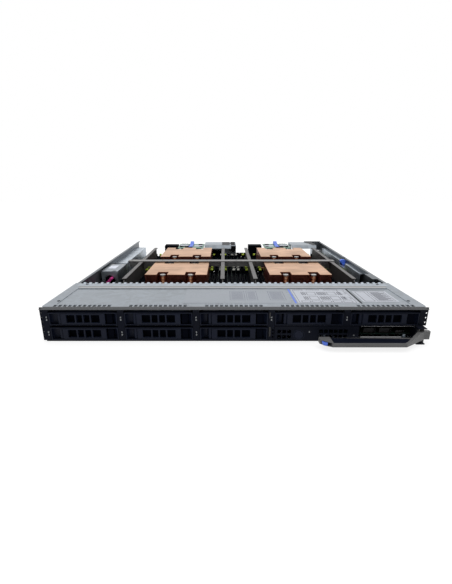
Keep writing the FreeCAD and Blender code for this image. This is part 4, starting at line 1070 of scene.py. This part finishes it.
class SLED_OT_heatsinks(bpy.types.Operator):
    """Builds the copper heatsinks: base, thin upright fins and a notched cap"""

    bl_idname = "sled.heatsinks"
    bl_label = "Heatsinks"

    def execute(self, context):
        sizes = context.scene.sled_sizes
        shapes = [self.heatsink(x, y, sizes.fins, sizes.fin_thickness / MM) for x, y in sink_centres()]
        make_piece("heatsink_fins", joined(shapes), "copper", nodes=("heatsinks",))
        return {"FINISHED"}

    def heatsink(self, x, y, count, thick):
        """A base, a cap and an even row of fins along X, each a thin box, shorter in line with a notch."""
        half = SINK_SIZE / 2
        top = SINK_HIGH[2]
        outline = rectangle(x - half[0], x + half[0], y - half[1], y + half[1])
        base = plate(outline, SINK_LOW[2], SINK_BASE_TOP, 0.4)
        cap = plate(self.notched(x, y), top - 1.0, top, 0.25)
        places = np.linspace(x - half[0] + thick / 2 + 0.1, x + half[0] - thick / 2 - 0.1, count)
        beside = np.min(np.abs(np.abs(places - x)[:, None] - NOTCH_OFFSET), axis=1) < NOTCH_SIZE[0] / 2 + 0.3
        reach = np.where(beside, half[1] - NOTCH_SIZE[1], half[1] - 0.2)
        low = np.column_stack([places - thick / 2, y - reach, np.full(count, SINK_BASE_TOP - 0.1)])
        high = np.column_stack([places + thick / 2, y + reach, np.full(count, top - 0.9)])
        return joined([base, cap, boxes(low, high, 0.05)])

    def notched(self, x, y):
        """Outline of the cap: a rectangle with two notches in its front edge and two in its rear edge."""
        half = SINK_SIZE / 2
        notch = NOTCH_SIZE[0] / 2
        edges = np.array([-half[0], -NOTCH_OFFSET - notch, -NOTCH_OFFSET + notch,
                          NOTCH_OFFSET - notch, NOTCH_OFFSET + notch, half[0]])
        deep = half[1] - NOTCH_SIZE[1]
        depths = np.array([half[1], half[1], deep, deep] * 2 + [half[1], half[1]])
        front = np.column_stack([np.repeat(edges, 2)[1:-1], -depths])
        return np.concatenate([front, -front]) + np.array([x, y])


class SLED_OT_sprung_screws(bpy.types.Operator):
    """Builds the heatsinks' captive screws, each with a spring under its socket head"""

    bl_idname = "sled.sprung_screws"
    bl_label = "Sprung screws"

    def execute(self, context):
        sizes = context.scene.sled_sizes
        reach = SINK_SIZE[1] / 2 - NOTCH_SIZE[1] / 2
        offsets = lattice((-NOTCH_OFFSET, NOTCH_OFFSET), (-reach, reach))
        places = at_zero((sink_centres()[:, None, :] + offsets[None]).reshape(-1, 2))
        z = SINK_BASE_TOP
        head = SINK_HIGH[2] - 4.4
        profile = [(1.5, BOARD_TOP), (1.5, z), (3.9, z), (3.9, z + 0.8), (3.6, z + 1.0), (2.0, z + 1.0),
                   (2.0, head), (4.0, head), (4.3, head + 0.3), (4.3, head + 2.2), (4.0, head + 2.6),
                   (1.9, head + 2.6), (1.7, head + 2.3), (1.7, head + 0.8)]
        wire = sizes.spring_wire / MM / 2
        spring = coiled(3.3, wire, z + 1.0 + wire, head - wire, sizes.spring_turns)
        nodes = ("heatsink_screws",)
        make_piece("screw_heads", lathed(profile, places, 18), "screw", nodes=nodes)
        make_piece("screw_springs", copies(spring, places), "spring", nodes=nodes)
        dress("processors", "disk")
        return {"FINISHED"}


class SLED_OT_memory(bpy.types.Operator):
    """Finishes the memory sockets with end cheeks and contacts, and builds their coloured latches"""

    bl_idname = "sled.memory"
    bl_label = "Memory sockets"

    def execute(self, context):
        edged("memory_sockets", ["socket"], 0.2)
        columns = memory_columns().ravel()
        low, high = node_box("memory_sockets")
        inset = 1.9
        ends = np.array([low[1] + inset, low[1] + MEMORY_LENGTH - inset,
                         high[1] - MEMORY_LENGTH + inset, high[1] - inset])
        spots = lattice(columns, ends)
        size = (0.75, 3.8, TOWER_TOP - BOARD_TOP)
        cheeks = [standing(spots + np.array([side * 2.72, 0.0]), size, BOARD_TOP, 0.12) for side in (-1, 1)]
        make_piece("memory_socket_cheeks", joined(cheeks), "socket")
        middles = np.array([low[1] + MEMORY_LENGTH / 2, high[1] - MEMORY_LENGTH / 2])
        reach, parts = 0.68, ((-27.0, 70.0), (36.0, 52.0))
        strips = []
        for side in (-1, 1):
            for shift, span in parts:
                rows = lattice(columns + side * reach, middles + shift)
                strips.append(standing(rows, (0.2, span, 1.2), CONTACT_LEVEL, 0.04))
        # The contacts take the near-black contact finish: painted shade in the slots.
        make_piece("memory_contacts", joined(strips), "contact")
        for row in LATCH_ROWS:
            self.latches(row)
        return {"FINISHED"}

    def latches(self, row):
        """Two outlines in (y, z) carried along X: a half-round foot with its arm, and a ridged tab."""
        node = "memory_latches_" + row
        low, high = node_box(node)
        outward = -1.0 if row.endswith("a") else 1.0
        radius, split = LATCH_RADIUS, LATCH_SPLIT
        pivot_y = high[1] - radius if outward < 0 else low[1] + radius
        pivot_z = low[2] + radius
        angle = np.linspace(math.pi, 2 * math.pi, 9)
        foot = radius * np.column_stack([np.cos(angle), np.sin(angle)])
        arm = np.array([(radius, 7.4), (2.53, split), (-radius, split)])
        hook = np.array([(-radius, split), (2.53, split), (3.3, 10.3), (3.3, 11.0), (2.9, 11.4), (2.3, 11.4),
                         (2.1, 11.0), (1.6, 11.0), (1.4, 11.4), (0.8, 11.4), (0.6, 11.0), (0.1, 11.0),
                         (-0.1, 11.4), (-1.2, 11.4), (-radius, 10.9)])
        solids = []
        for outline in (np.concatenate([foot, arm]), hook):
            outline = outline * np.array([outward, 1.0]) + np.array([pivot_y, pivot_z])
            solids.append(plate(outline if outward > 0 else outline[::-1], -2.2, 2.2, 0.25, axis=0))
        feet, tab = solids
        columns = memory_columns()
        # Each latch's foot and arm take the socket's black as painted shade; the tabs keep the latch colours.
        make_piece("latch_shaded_feet_" + row, copies(feet, self.places(columns)), "socket",
                   node_body(node), (node,))
        inner, outer = columns[[1, 2]], columns[[0, 3]]
        tabs = {"green": (inner[:, [0, 3]], outer[:, [2, 5]]), "black": (inner[:, [1, 4]], outer[:, [0, 3]]),
                "white": (inner[:, [2, 5]], outer[:, [1, 4]])}
        finishes = {"green": "latch_green", "black": "socket", "white": "latch_white"}
        for name, xs in tabs.items():
            shape = copies(tab, self.places(np.concatenate(xs)))
            make_piece("latch_tabs_%s_%s" % (name, row), shape, finishes[name],
                       node_body(node), (node,))

    def places(self, xs):
        """Offsets along X alone."""
        return np.column_stack([xs.ravel(), np.zeros((xs.size, 2))])


class SLED_OT_board(bpy.types.Operator):
    """Finishes the boards and sets out chips, coils, capacitors and connectors on the system board"""

    bl_idname = "sled.board"
    bl_label = "System board"

    def execute(self, context):
        for node in ("system_board", "drive_backplane", "control_board"):
            dress(node, "board")
        level = BOARD_TOP
        centres = sink_centres()[:2, 0]
        coil_rows, driver_rows = (-111.5, 50.0), (-119.6, -123.8)
        xs = spread(centres, count=8, pitch=11.5)
        coils = lattice(xs, coil_rows)
        make_piece("board_coils", standing(coils, (9.6, 9.6, 6.2), level, 0.6), "ferrite")
        drivers = lattice(xs, driver_rows)
        make_piece("board_drivers", standing(drivers, (5.0, 3.6, 1.1), level, 0.12), "chip")
        self.capacitors(centres)
        self.connectors(level)
        chips = [(40.0, 219.0), (60.0, 216.0), (-160.0, 222.0), (-132.0, 214.0), (120.0, 219.0),
                 (-196.0, -100.0), (-196.0, -76.0), (0.0, -120.0), (22.0, -116.0), (168.0, -118.0),
                 (-168.0, -120.0), (10.75, 51.0)]
        sizes = [(17, 17, 1.7), (10, 10, 1.2), (14, 14, 1.4), (9, 12, 1.2), (12, 9, 1.2), (14, 14, 1.4),
                 (8, 10, 1.2), (13, 13, 1.4), (6, 8, 1.1), (11, 11, 1.3), (11, 11, 1.3), (8, 8, 1.2)]
        make_piece("board_chips", standing(chips, sizes, level, 0.15), "chip")
        self.small_parts(level, context.scene.sled_sizes.seed)
        return {"FINISHED"}

    def capacitors(self, centres):
        """Polymer capacitors: a base plate and a can with a rolled groove and a domed top, turned about Z."""
        z = BOARD_TOP
        profile = [(3.2, z), (3.2, z + 0.7), (2.9, z + 0.8), (3.1, z + 1.2), (3.1, z + 1.9), (2.85, z + 2.2),
                   (3.1, z + 2.5), (3.1, z + 7.2), (2.8, z + 7.6), (0.6, z + 7.7)]
        front_row, middle_row, rear_row = -131.5, 50.0, 207.5
        xs = spread(centres, count=7, pitch=13.0)
        spots = np.concatenate([lattice(xs, (front_row,)), lattice((-30.0, -18.0, 40.0, 52.0), (middle_row,)),
                                lattice((-150.0, -142.0, 28.0, 163.0), (rear_row,))])
        make_piece("board_capacitors", lathed(profile, at_zero(spots), 16), "tin")

    def connectors(self, level):
        """Cable headers: an outline drawn up as a wall and down again as an open box."""
        headers = []
        places = ((-150, -110, -141, -136, 12), (-24, 44, -141, -134.5, 14), (64, 104, -141, -136, 12),
                  (-205, -186, -128, -121, 9), (150, 178, -141, -136, 9), (-205, -188, 12, 30, 10),
                  (60, 76, 205, 211, 8), (-176, -152, 206, 212, 8))
        for x0, x1, y0, y1, height in places:
            rows = [(0.2, level), (0.0, level + 0.2), (0.0, level + height - 0.2), (0.2, level + height),
                    (0.9, level + height), (1.0, level + height - 0.2), (1.0, level + 2.0)]
            headers.append(carried(rectangle(x0, x1, y0, y1), rows))
        make_piece("board_headers", joined(headers), "socket")

    def small_parts(self, level, seed):
        """Chip resistors and capacitors scattered over the bare strips of the board."""
        rng = np.random.default_rng(seed)
        strips = np.array([(-178, 180, -140, -104), (-178, 180, 42.5, 58.5), (-178, -150, 204, 234),
                           (18, 76, 204, 234), (-207, -184, -138, -56)])
        counts = (170, 90, 30, 45, 40)
        low = np.repeat(strips[:, [0, 2]], counts, axis=0)
        high = np.repeat(strips[:, [1, 3]], counts, axis=0)
        spots = low + rng.random(low.shape) * (high - low)
        sizes = np.where(rng.random((len(spots), 1)) < 0.5, (1.7, 0.9, 0.6), (0.9, 1.7, 0.6))
        tan = rng.random(len(spots)) < 0.55
        make_piece("board_small_capacitors", standing(spots[tan], sizes[tan], level, 0.1), "tan")
        make_piece("board_resistors", standing(spots[~tan], sizes[~tan], level, 0.1), "chip")


class SLED_OT_rails(bpy.types.Operator):
    """Finishes the air rails, the cable block, the pull tab and the blue clip"""

    bl_idname = "sled.rails"
    bl_label = "Rails and clips"

    def execute(self, context):
        edged("air_rails", ["rail"], 0.25)
        edged("cable_block", ["socket"], 0.5)
        self.pull_tab()
        # The clip takes the brighter clip blue, painted light.
        edged("bracket_clip", ["clip"], 0.5)
        return {"FINISHED"}

    def pull_tab(self):
        """A dark plug turned about Y, and a rounded bar that leans at 46 degrees across its face."""
        low, high = node_box("cage_pull_tab")
        x, z = (low[0] + high[0]) / 2, (low[2] + high[2]) / 2
        radius = (high[0] - low[0]) / 2
        face = node_box("card_cage")[0][1] + 0.4
        profile = [(0.4, face), (radius - 0.6, face), (radius, face + 0.6), (radius, high[1])]
        make_piece("pull_plug", lathed(profile, [(x, 0.0, z)], 32, axis=1), "socket",
                   "cage_pull_tab", ("cage_pull_tab",))
        lean = math.radians(-46.0)
        turn = np.array([[math.cos(lean), math.sin(lean)], [-math.sin(lean), math.cos(lean)]])
        outline = rounded(-2.1, 2.1, -6.2, 6.2, 1.8, 5) @ turn + np.array([z + 0.8, x + 0.8])
        make_piece("pull_bar", plate(outline, low[1], face + 0.2, 0.5, axis=1), "magenta",
                   "cage_pull_tab", ("cage_pull_tab",))


class SLED_OT_cards(bpy.types.Operator):
    """Finishes the network cards and their blue straps, and adds the rear cages' lips and plates"""

    bl_idname = "sled.cards"
    bl_label = "Network cards"

    def execute(self, context):
        high = node_box("network_cards")[1]
        under, over = 32.9, 34.7
        edged("network_cards", ["card", "socket", "chip"], 0.15,
              lambda spots: np.where(spots[:, 2] < under, 1, np.where(spots[:, 2] > over, 2, 0)))
        self.card_parts(high)
        for side in ("left", "right"):
            edged("card_lever_" + side, ["touch"], 0.4)
        self.brows()
        return {"FINISHED"}

    def card_parts(self, high):
        """Chips, small parts and two blank labels on each card, mirrored from one card to the other."""
        level, rear = CARD_LEVEL, high[1]
        chip_sizes = [(8, 8, 1.2), (5, 4, 1.0), (6, 5, 1.0), (9, 9, 1.4)]
        tin_size, tin_columns, label_offset = (3.2, 1.8, 1.4), np.array([12.0, 17.0, 22.0]), 15.5
        blocks = []
        tins = []
        labels = []
        for x, side in zip(sink_centres()[:2, 0], (-1.0, 1.0)):
            blocks.append(standing([(x + side * 9.0, rear - 52.0), (x + side * 21.0, rear - 50.0),
                                    (x - side * 22.0, rear - 44.0), (x - side * 19.5, rear - 14.0)],
                                   chip_sizes, level, 0.12))
            spots = lattice(x + side * tin_columns, (rear - 8.0, rear - 5.0))
            tins.append(standing(spots, tin_size, level, 0.15))
            sheets = ((x - side * label_offset, 9.5, 40.0, 20.0, level),
                      (x + side * label_offset, 9.0, 41.0, 23.0, high[2]))
            for middle, half, front, back, floor in sheets:
                outline = rounded(middle - half, middle + half, rear - front, rear - back, 1.0)
                labels.append(plate(outline, floor, floor + STICKER, LABEL_RIM))
        make_piece("card_chips", joined(blocks), "chip")
        make_piece("card_parts", joined(tins), "tin")
        make_piece("card_labels", joined(labels), "paper")

    def brows(self):
        """A folded lip on each rear cage: an L in (y, z) carried along X, with dark panels and pads on it."""
        low, high = node_box("rear_card_cages")
        reach, lap = 9.0, 4.0
        left_width, right_width = 69.0, 54.05
        panel_width, pad_thick = 11.0, 0.4
        front, back, top = low[1] - reach, low[1] + lap, high[2]
        fold = np.array([(front - 4.6, top - 6.4), (front - 3.9, top - 6.8), (front + 0.3, top - 0.7),
                         (back, top - 0.05), (back, top + 0.12), (front, top + 0.12)])
        spans = ((low[0], low[0] + left_width), (high[0] - right_width, high[0]))
        lips = [plate(fold, x0, x1, 0.04, axis=0) for x0, x1 in spans]
        make_piece("rear_cage_brows", joined(lips), "cover")
        x, rear = spans[0][1], high[1]
        panels = boxes([(x - panel_width, front - 4.9, top - 15.0), (x - panel_width, front + 1.0, top)],
                       [(x - 0.3, front - 4.1, top - 0.7), (x - 1.8, rear - 1.0, top + 0.5)], 0.1)
        make_piece("rear_cage_panels", panels, "chip")
        pad = plate(rounded(x - 30.5, x - 13.5, front + 1.5, rear - 1.5, 1.2), top, top + pad_thick, 0.1)
        edge = spans[1][1]
        other = np.array([(edge - 7.0, front + 1.5), (edge - 0.4, front + 1.5),
                          (edge - 0.4, rear - 0.3), (edge - 19.0, rear - 0.3)])
        pads = joined([pad, plate(other, top, top + pad_thick, 0.1)])
        make_piece("rear_cage_pads", pads, "pad")
        self.backs(spans[0][0], x, top)

    def backs(self, x0, x1, top):
        """A sheet and dark modules at the left bay's rear, and a stepped plate at the right wall."""
        foot = 1.1
        behind = float(BOARD_HIGH[1]) + 1.15
        sheet = boxes([(x0, behind + 1.2, foot)], [(x1, behind + 2.1, top - 1.0)], 0.12)
        corner = np.array([(36.5, 174.0), (36.5, 190.4), (21.2, 190.4), (21.2, 210.7),
                           (40.8, 210.7), (40.8, 174.0)])
        make_piece("rear_bay_sheet", sheet, "zinc")
        stepped = plate(corner, behind + 0.4, behind + 1.6, 0.12, axis=1)
        # The corner plate takes the shaded wall sheet, so its darkness is painted shade.
        make_piece("rear_corner_plate", stepped, "wall")
        tall_pitch, short_pitch = 13.2, 9.2
        tall = x0 + 2.8 + tall_pitch * np.arange(3)
        short = x1 + 1.4 + short_pitch * np.arange(3)
        low = np.array([(x, behind, foot) for x in np.concatenate([tall, short])])
        size = np.array([(12.6, 2.9, 20.0)] * 3 + [(8.7, 4.2, 13.4)] * 3)
        make_piece("rear_modules", boxes(low, low + size, 0.3), "socket")


class SLED_OT_rear_connectors(bpy.types.Operator):
    """Finishes the connectors at the rear, with rows of contacts in their faces"""

    bl_idname = "sled.rear_connectors"
    bl_label = "Rear connectors"

    def execute(self, context):
        edged("rear_connectors", ["socket"], 0.3)
        rear = node_box("rear_connectors")[1][1]
        centres = sink_centres()[:2, 0]
        spans = [(x + start, x + end) for x in centres for start, end in ((-62.0, -32.0), (-26.0, 26.0))]
        size = np.array([1.0, 0.5, 1.2])
        pitch_x, pitch_z = 2.4, 2.2
        levels = np.arange(8.6, 20.5, pitch_z)
        contacts = []
        for x0, x1 in spans:
            spots = lattice(np.arange(x0 + 2.5, x1 - 2.0, pitch_x), levels)
            face = np.full(len(spots), rear - 0.3)
            start = np.column_stack([spots[:, 0] - size[0] / 2, face, spots[:, 1] - size[2] / 2])
            contacts.append(boxes(start, start + size, 0.08))
        make_piece("rear_contacts", joined(contacts), "gold")
        return {"FINISHED"}


class SLED_OT_front_panel(bpy.types.Operator):
    """Finishes the control panel: power button and ring, lenses, ports, trim and information tag"""

    bl_idname = "sled.front_panel"
    bl_label = "Control panel"

    def execute(self, context):
        edged("power_button", ["carrier"], 0.4)
        edged("information_tag", ["rail"], 0.15)
        strip_low, strip_high, strip_left, strip_right = 27.2, 34.0, 39.5, 40.9
        outline = rectangle(strip_low, strip_high, strip_left, strip_right)
        strip = plate(outline, FRONT + 1.2, FRONT + 1.6, 0.08, axis=1)
        make_piece("divider_strip", strip, "rail")
        low, high = node_box("power_button")
        x, z = (low[0] + high[0]) / 2, (low[2] + high[2]) / 2
        face = FRONT + 1.0
        ring = [(6.4, 0.0), (6.4, -0.25), (6.2, -0.4), (5.9, -0.4), (5.7, -0.25), (5.7, 0.0)]
        ring = lathed(ring[::-1], [(x, face, z)], 36, axis=1)
        make_piece("power_ring", (ring[0], ring[1][:1]), "carrier")
        dome = [(0.85, 0.1), (0.85, -0.1), (0.6, -0.3), (0.2, -0.38)][::-1]
        lens = lathed(dome, [(85.2, face, 11.3), (135.5, face, 7.2)], 14, axis=1)
        make_piece("status_lens", lens, "lens")
        self.port_shells()
        self.port_trim()
        return {"FINISHED"}

    def port_shells(self):
        """Each shell is a rectangle drawn back as a wall, over its lip and in again to a floor."""
        shells = []
        for x0, x1, z0, z1 in PORTS:
            outline = rectangle(z0 - PORT_WALL, z1 + PORT_WALL, x0 - PORT_WALL, x1 + PORT_WALL)
            rows = [(0.0, FRONT + 28.0), (0.0, FRONT + 11.2), (0.1, FRONT + 11.1), (0.5, FRONT + 11.1),
                    (0.6, FRONT + 11.3), (0.6, FRONT + 12.9)]
            shells.append(flipped(carried(outline, rows, axis=1)))
        make_piece("port_shells", joined(shells), "port")

    def port_trim(self):
        """Thin boxes from their ends in X, Y behind the front, and Z: two lines, a sill and an end plate."""
        lines = [(143.0, 204.0, 2.2, 3.4, 17.35, 17.9), (143.6, 190.0, 1.8, 2.6, 4.5, 5.1)]
        dark = [(143.4, 190.2, 1.9, 2.8, 1.1, 4.55), (205.6, WALL_OUT, 9.4, 10.4, 1.15, 18.2)]
        for name, rows, slot, finish in (("port_trim", lines, "galvanised", "tin"),
                                         ("port_sill", dark, "black_steel", "cage")):
            x0, x1, y0, y1, z0, z1 = np.array(rows).T
            low, high = np.column_stack([x0, FRONT + y0, z0]), np.column_stack([x1, FRONT + y1, z1])
            make_piece(name, boxes(low, high, 0.1), finish)


class SLED_OT_handle(bpy.types.Operator):
    """Finishes the ejector handle with its dark insert, blue button and pin"""

    bl_idname = "sled.handle"
    bl_label = "Handle"

    def execute(self, context):
        edged("handle", ["handle"], 0.5)
        edged("handle_button", ["touch"], 0.4)
        dress("handle_pin", "port")
        floor = node_box("handle")[0][2] + 1.4
        insert = np.array([(105.0, FRONT - 26.4), (180.5, FRONT - 26.4), (200.0, FRONT - 9.5),
                           (105.0, FRONT - 6.0)])
        sheet = plate(insert, floor - 0.05, floor + 0.35, 0.12)
        make_piece("handle_insert", sheet, "insert", "handle")
        return {"FINISHED"}


class SLED_OT_fasteners(bpy.types.Operator):
    """Sets flat screws on the cover, card cage and duct, and rivets on the cross member and walls"""

    bl_idname = "sled.fasteners"
    bl_label = "Fasteners"

    def execute(self, context):
        top = COVER_HIGH[2]
        head = [(2.0, -0.05), (2.0, 0.1), (1.8, 0.25), (0.9, 0.25), (0.8, 0.02)]
        corners = ((201.5, FRONT + 23.5), (194.0, COVER_HIGH[1] - 9.0))
        cover = [(side * x, y, top) for side in (-1, 1) for x, y in corners]
        make_piece("cover_screws", lathed(head, cover, 16), "cage")
        cage_low, cage_high = node_box("card_cage")
        spots = [(x, cage_high[1] - 6, cage_high[2]) for x in (cage_low[0] + 5, cage_high[0] - 5)]
        duct_low, duct_high = node_box("side_duct")
        ys = np.linspace(duct_low[1] + 12, duct_high[1] - 12, 4)
        spots += [(duct_high[0] - 6, y, duct_high[2]) for y in ys]
        make_piece("flat_screws", lathed(head, spots, 16), "screw")
        dome = [(1.9, -0.05), (1.9, 0.12), (1.6, 0.35), (1.0, 0.5), (0.3, 0.55)]
        beam_low, beam_high = node_box("cross_member")
        beam_xs = (-174.0, -120.0, 10.75, 140.0, 176.0)
        beam = [(x, beam_low[1] + 6.0, beam_high[2]) for x in beam_xs]
        make_piece("beam_rivets", lathed(dome, beam, 14), "beam")
        wall_ys, wall_levels = np.linspace(-230.0, 240.0, 9), (6.5, 33.0)
        spots = lattice(wall_ys, wall_levels)
        right = lathed(dome, [(WALL_OUT, y, z) for y, z in spots], 14, axis=0)
        inside_out = [(radius, -height) for radius, height in dome][::-1]
        left = lathed(inside_out, [(-WALL_OUT, y, z) for y, z in spots], 14, axis=0)
        make_piece("wall_rivets", joined([right, left]), "screw")
        return {"FINISHED"}


class SLED_OT_stage(bpy.types.Operator):
    """Sets the floor, the soft light, the pale surround and the camera"""

    bl_idname = "sled.stage"
    bl_label = "Stage"

    def execute(self, context):
        stage = context.scene.sled_stage
        context.scene.view_settings.view_transform = "Standard"
        self.floor(stage)
        self.surround(context.scene, stage)
        self.lamp("Key", (0.0, 0.1, 1.7), (0.0, 0.0, 0.0), 2.6, stage.key)
        self.lamp("Fill", (-0.5, -2.0, 1.1), (0.0, -0.2, 0.05), 1.6, stage.fill)
        self.camera(context.scene, stage)
        return {"FINISHED"}

    def floor(self, stage):
        """A flat grid: a glow that rises with distance for seen rays, and a plain floor for others."""
        mesh = bpy.data.meshes.new("floor")
        t = np.linspace(-3.0, 3.0, 7)
        spots = lattice(t, t)
        index = np.arange(len(spots)).reshape(len(t), len(t))
        quads = np.stack([index[:-1, :-1], index[1:, :-1], index[1:, 1:], index[:-1, 1:]], axis=-1)
        points = np.column_stack([spots, np.full(len(spots), -0.0002)])
        mesh.from_pydata(points.tolist(), [], quads.reshape(-1, 4).tolist())
        material, tree, shader = new_finish("Pale floor", specular=0.0)
        shader.inputs["Base Color"].default_value = linear(stage.floor)
        shader.inputs["Roughness"].default_value = 0.7
        away = add_node(tree, "ShaderNodeVectorMath", {0: object_place(tree)}, operation="LENGTH")
        near, far = stage.shadow_reach
        strength = ranged(tree, away.outputs["Value"], 0.82, 1.0, near, far)
        glow = add_node(tree, "ShaderNodeEmission", {"Strength": strength})
        shadow = add_node(tree, "ShaderNodeBsdfDiffuse", {"Color": darker(stage.floor, 0.3)})
        white = add_node(tree, "ShaderNodeAddShader", {0: glow.outputs[0], 1: shadow.outputs[0]})
        inputs = {0: self.seen(tree), 1: shader.outputs[0], 2: white.outputs[0]}
        mix = add_node(tree, "ShaderNodeMixShader", inputs)
        tree.links.new(mix.outputs[0], tree.nodes["Material Output"].inputs["Surface"])
        mesh.materials.append(material)
        floor = bpy.data.objects.new("floor", mesh)
        bpy.context.scene.collection.objects.link(floor)

    def seen(self, tree):
        """One for rays from the camera, and for those that a mirror or glass sends on."""
        path = add_node(tree, "ShaderNodeLightPath").outputs
        both = maths(tree, "MAXIMUM", path["Is Camera Ray"], path["Is Glossy Ray"])
        return maths(tree, "MAXIMUM", both, path["Is Transmission Ray"])

    def surround(self, scene, stage):
        """A world that is white for seen rays, and lights the object with the sky's strength."""
        world = bpy.data.worlds.new("Pale surround")
        scene.world = world
        world.use_nodes = True
        tree = world.node_tree
        light = tree.nodes["Background"]
        light.inputs["Color"].default_value = (1.0, 1.0, 1.0, 1.0)
        tree.links.new(ranged(tree, self.seen(tree), stage.sky, 1.0), light.inputs["Strength"])

    def lamp(self, name, place, target, size, power):
        """A square lamp that is turned to look at a target."""
        data = bpy.data.lights.new(name, "AREA")
        data.shape = "SQUARE"
        data.size = size
        data.energy = power
        lamp = bpy.data.objects.new(name, data)
        lamp.visible_glossy = False
        bpy.context.scene.collection.objects.link(lamp)
        lamp.location = place
        aim = np.array(target) - np.array(place)
        flat = math.hypot(aim[0], aim[1])
        heading = math.atan2(-aim[0], aim[1]) if flat > 0 else 0.0
        lamp.rotation_euler = (math.atan2(flat, -aim[2]), 0.0, heading)

    def camera(self, scene, stage):
        """The camera, its principal point given as a shift in shares of the picture's height."""
        data = bpy.data.cameras.new("Camera")
        data.sensor_width = 36.0
        data.lens = stage.lens
        data.clip_start = 0.01
        width, height = IMAGE_SIZE
        data.shift_x = (width / 2 - stage.principal[0]) / height
        data.shift_y = (stage.principal[1] - height / 2) / height
        camera = bpy.data.objects.new("Camera", data)
        scene.collection.objects.link(camera)
        camera.location = stage.camera_place
        camera.rotation_euler = (math.pi / 2 - stage.pitch, 0.0, 0.0)
        scene.camera = camera


OPERATORS = (
    SLED_OT_finishes,
    SLED_OT_stage,
    SLED_OT_sheet_metal,
    SLED_OT_cover,
    SLED_OT_labels,
    SLED_OT_carriers,
    SLED_OT_heatsinks,
    SLED_OT_sprung_screws,
    SLED_OT_memory,
    SLED_OT_board,
    SLED_OT_rails,
    SLED_OT_cards,
    SLED_OT_rear_connectors,
    SLED_OT_front_panel,
    SLED_OT_handle,
    SLED_OT_fasteners,
)


class SLED_PT_panel(bpy.types.Panel):
    """Lists the sled's sizes, colours and pieces"""

    bl_label = "Server sled"
    bl_idname = "SLED_PT_panel"
    bl_space_type = "VIEW_3D"
    bl_region_type = "UI"
    bl_category = "Sled"

    def draw(self, context):
        for group in (context.scene.sled_colours, context.scene.sled_sizes, context.scene.sled_stage):
            box = self.layout.box()
            for name in group.bl_rna.properties.keys():
                if name not in ("rna_type", "name"):
                    box.prop(group, name)
        for operator in OPERATORS:
            self.layout.operator(operator.bl_idname)


CLASSES = (SledColours, SledSizes, SledStage, *OPERATORS, SLED_PT_panel)


def register():
    for cls in CLASSES:
        bpy.utils.register_class(cls)
    bpy.types.Scene.sled_colours = bpy.props.PointerProperty(type=SledColours)
    bpy.types.Scene.sled_sizes = bpy.props.PointerProperty(type=SledSizes)
    bpy.types.Scene.sled_stage = bpy.props.PointerProperty(type=SledStage)


def unregister():
    del bpy.types.Scene.sled_stage
    del bpy.types.Scene.sled_sizes
    del bpy.types.Scene.sled_colours
    for cls in reversed(CLASSES):
        bpy.utils.unregister_class(cls)


def main():
    register()
    for operator in OPERATORS:
        group, name = operator.bl_idname.split(".")
        getattr(getattr(bpy.ops, group), name)()


if __name__ == "__main__":
    main()
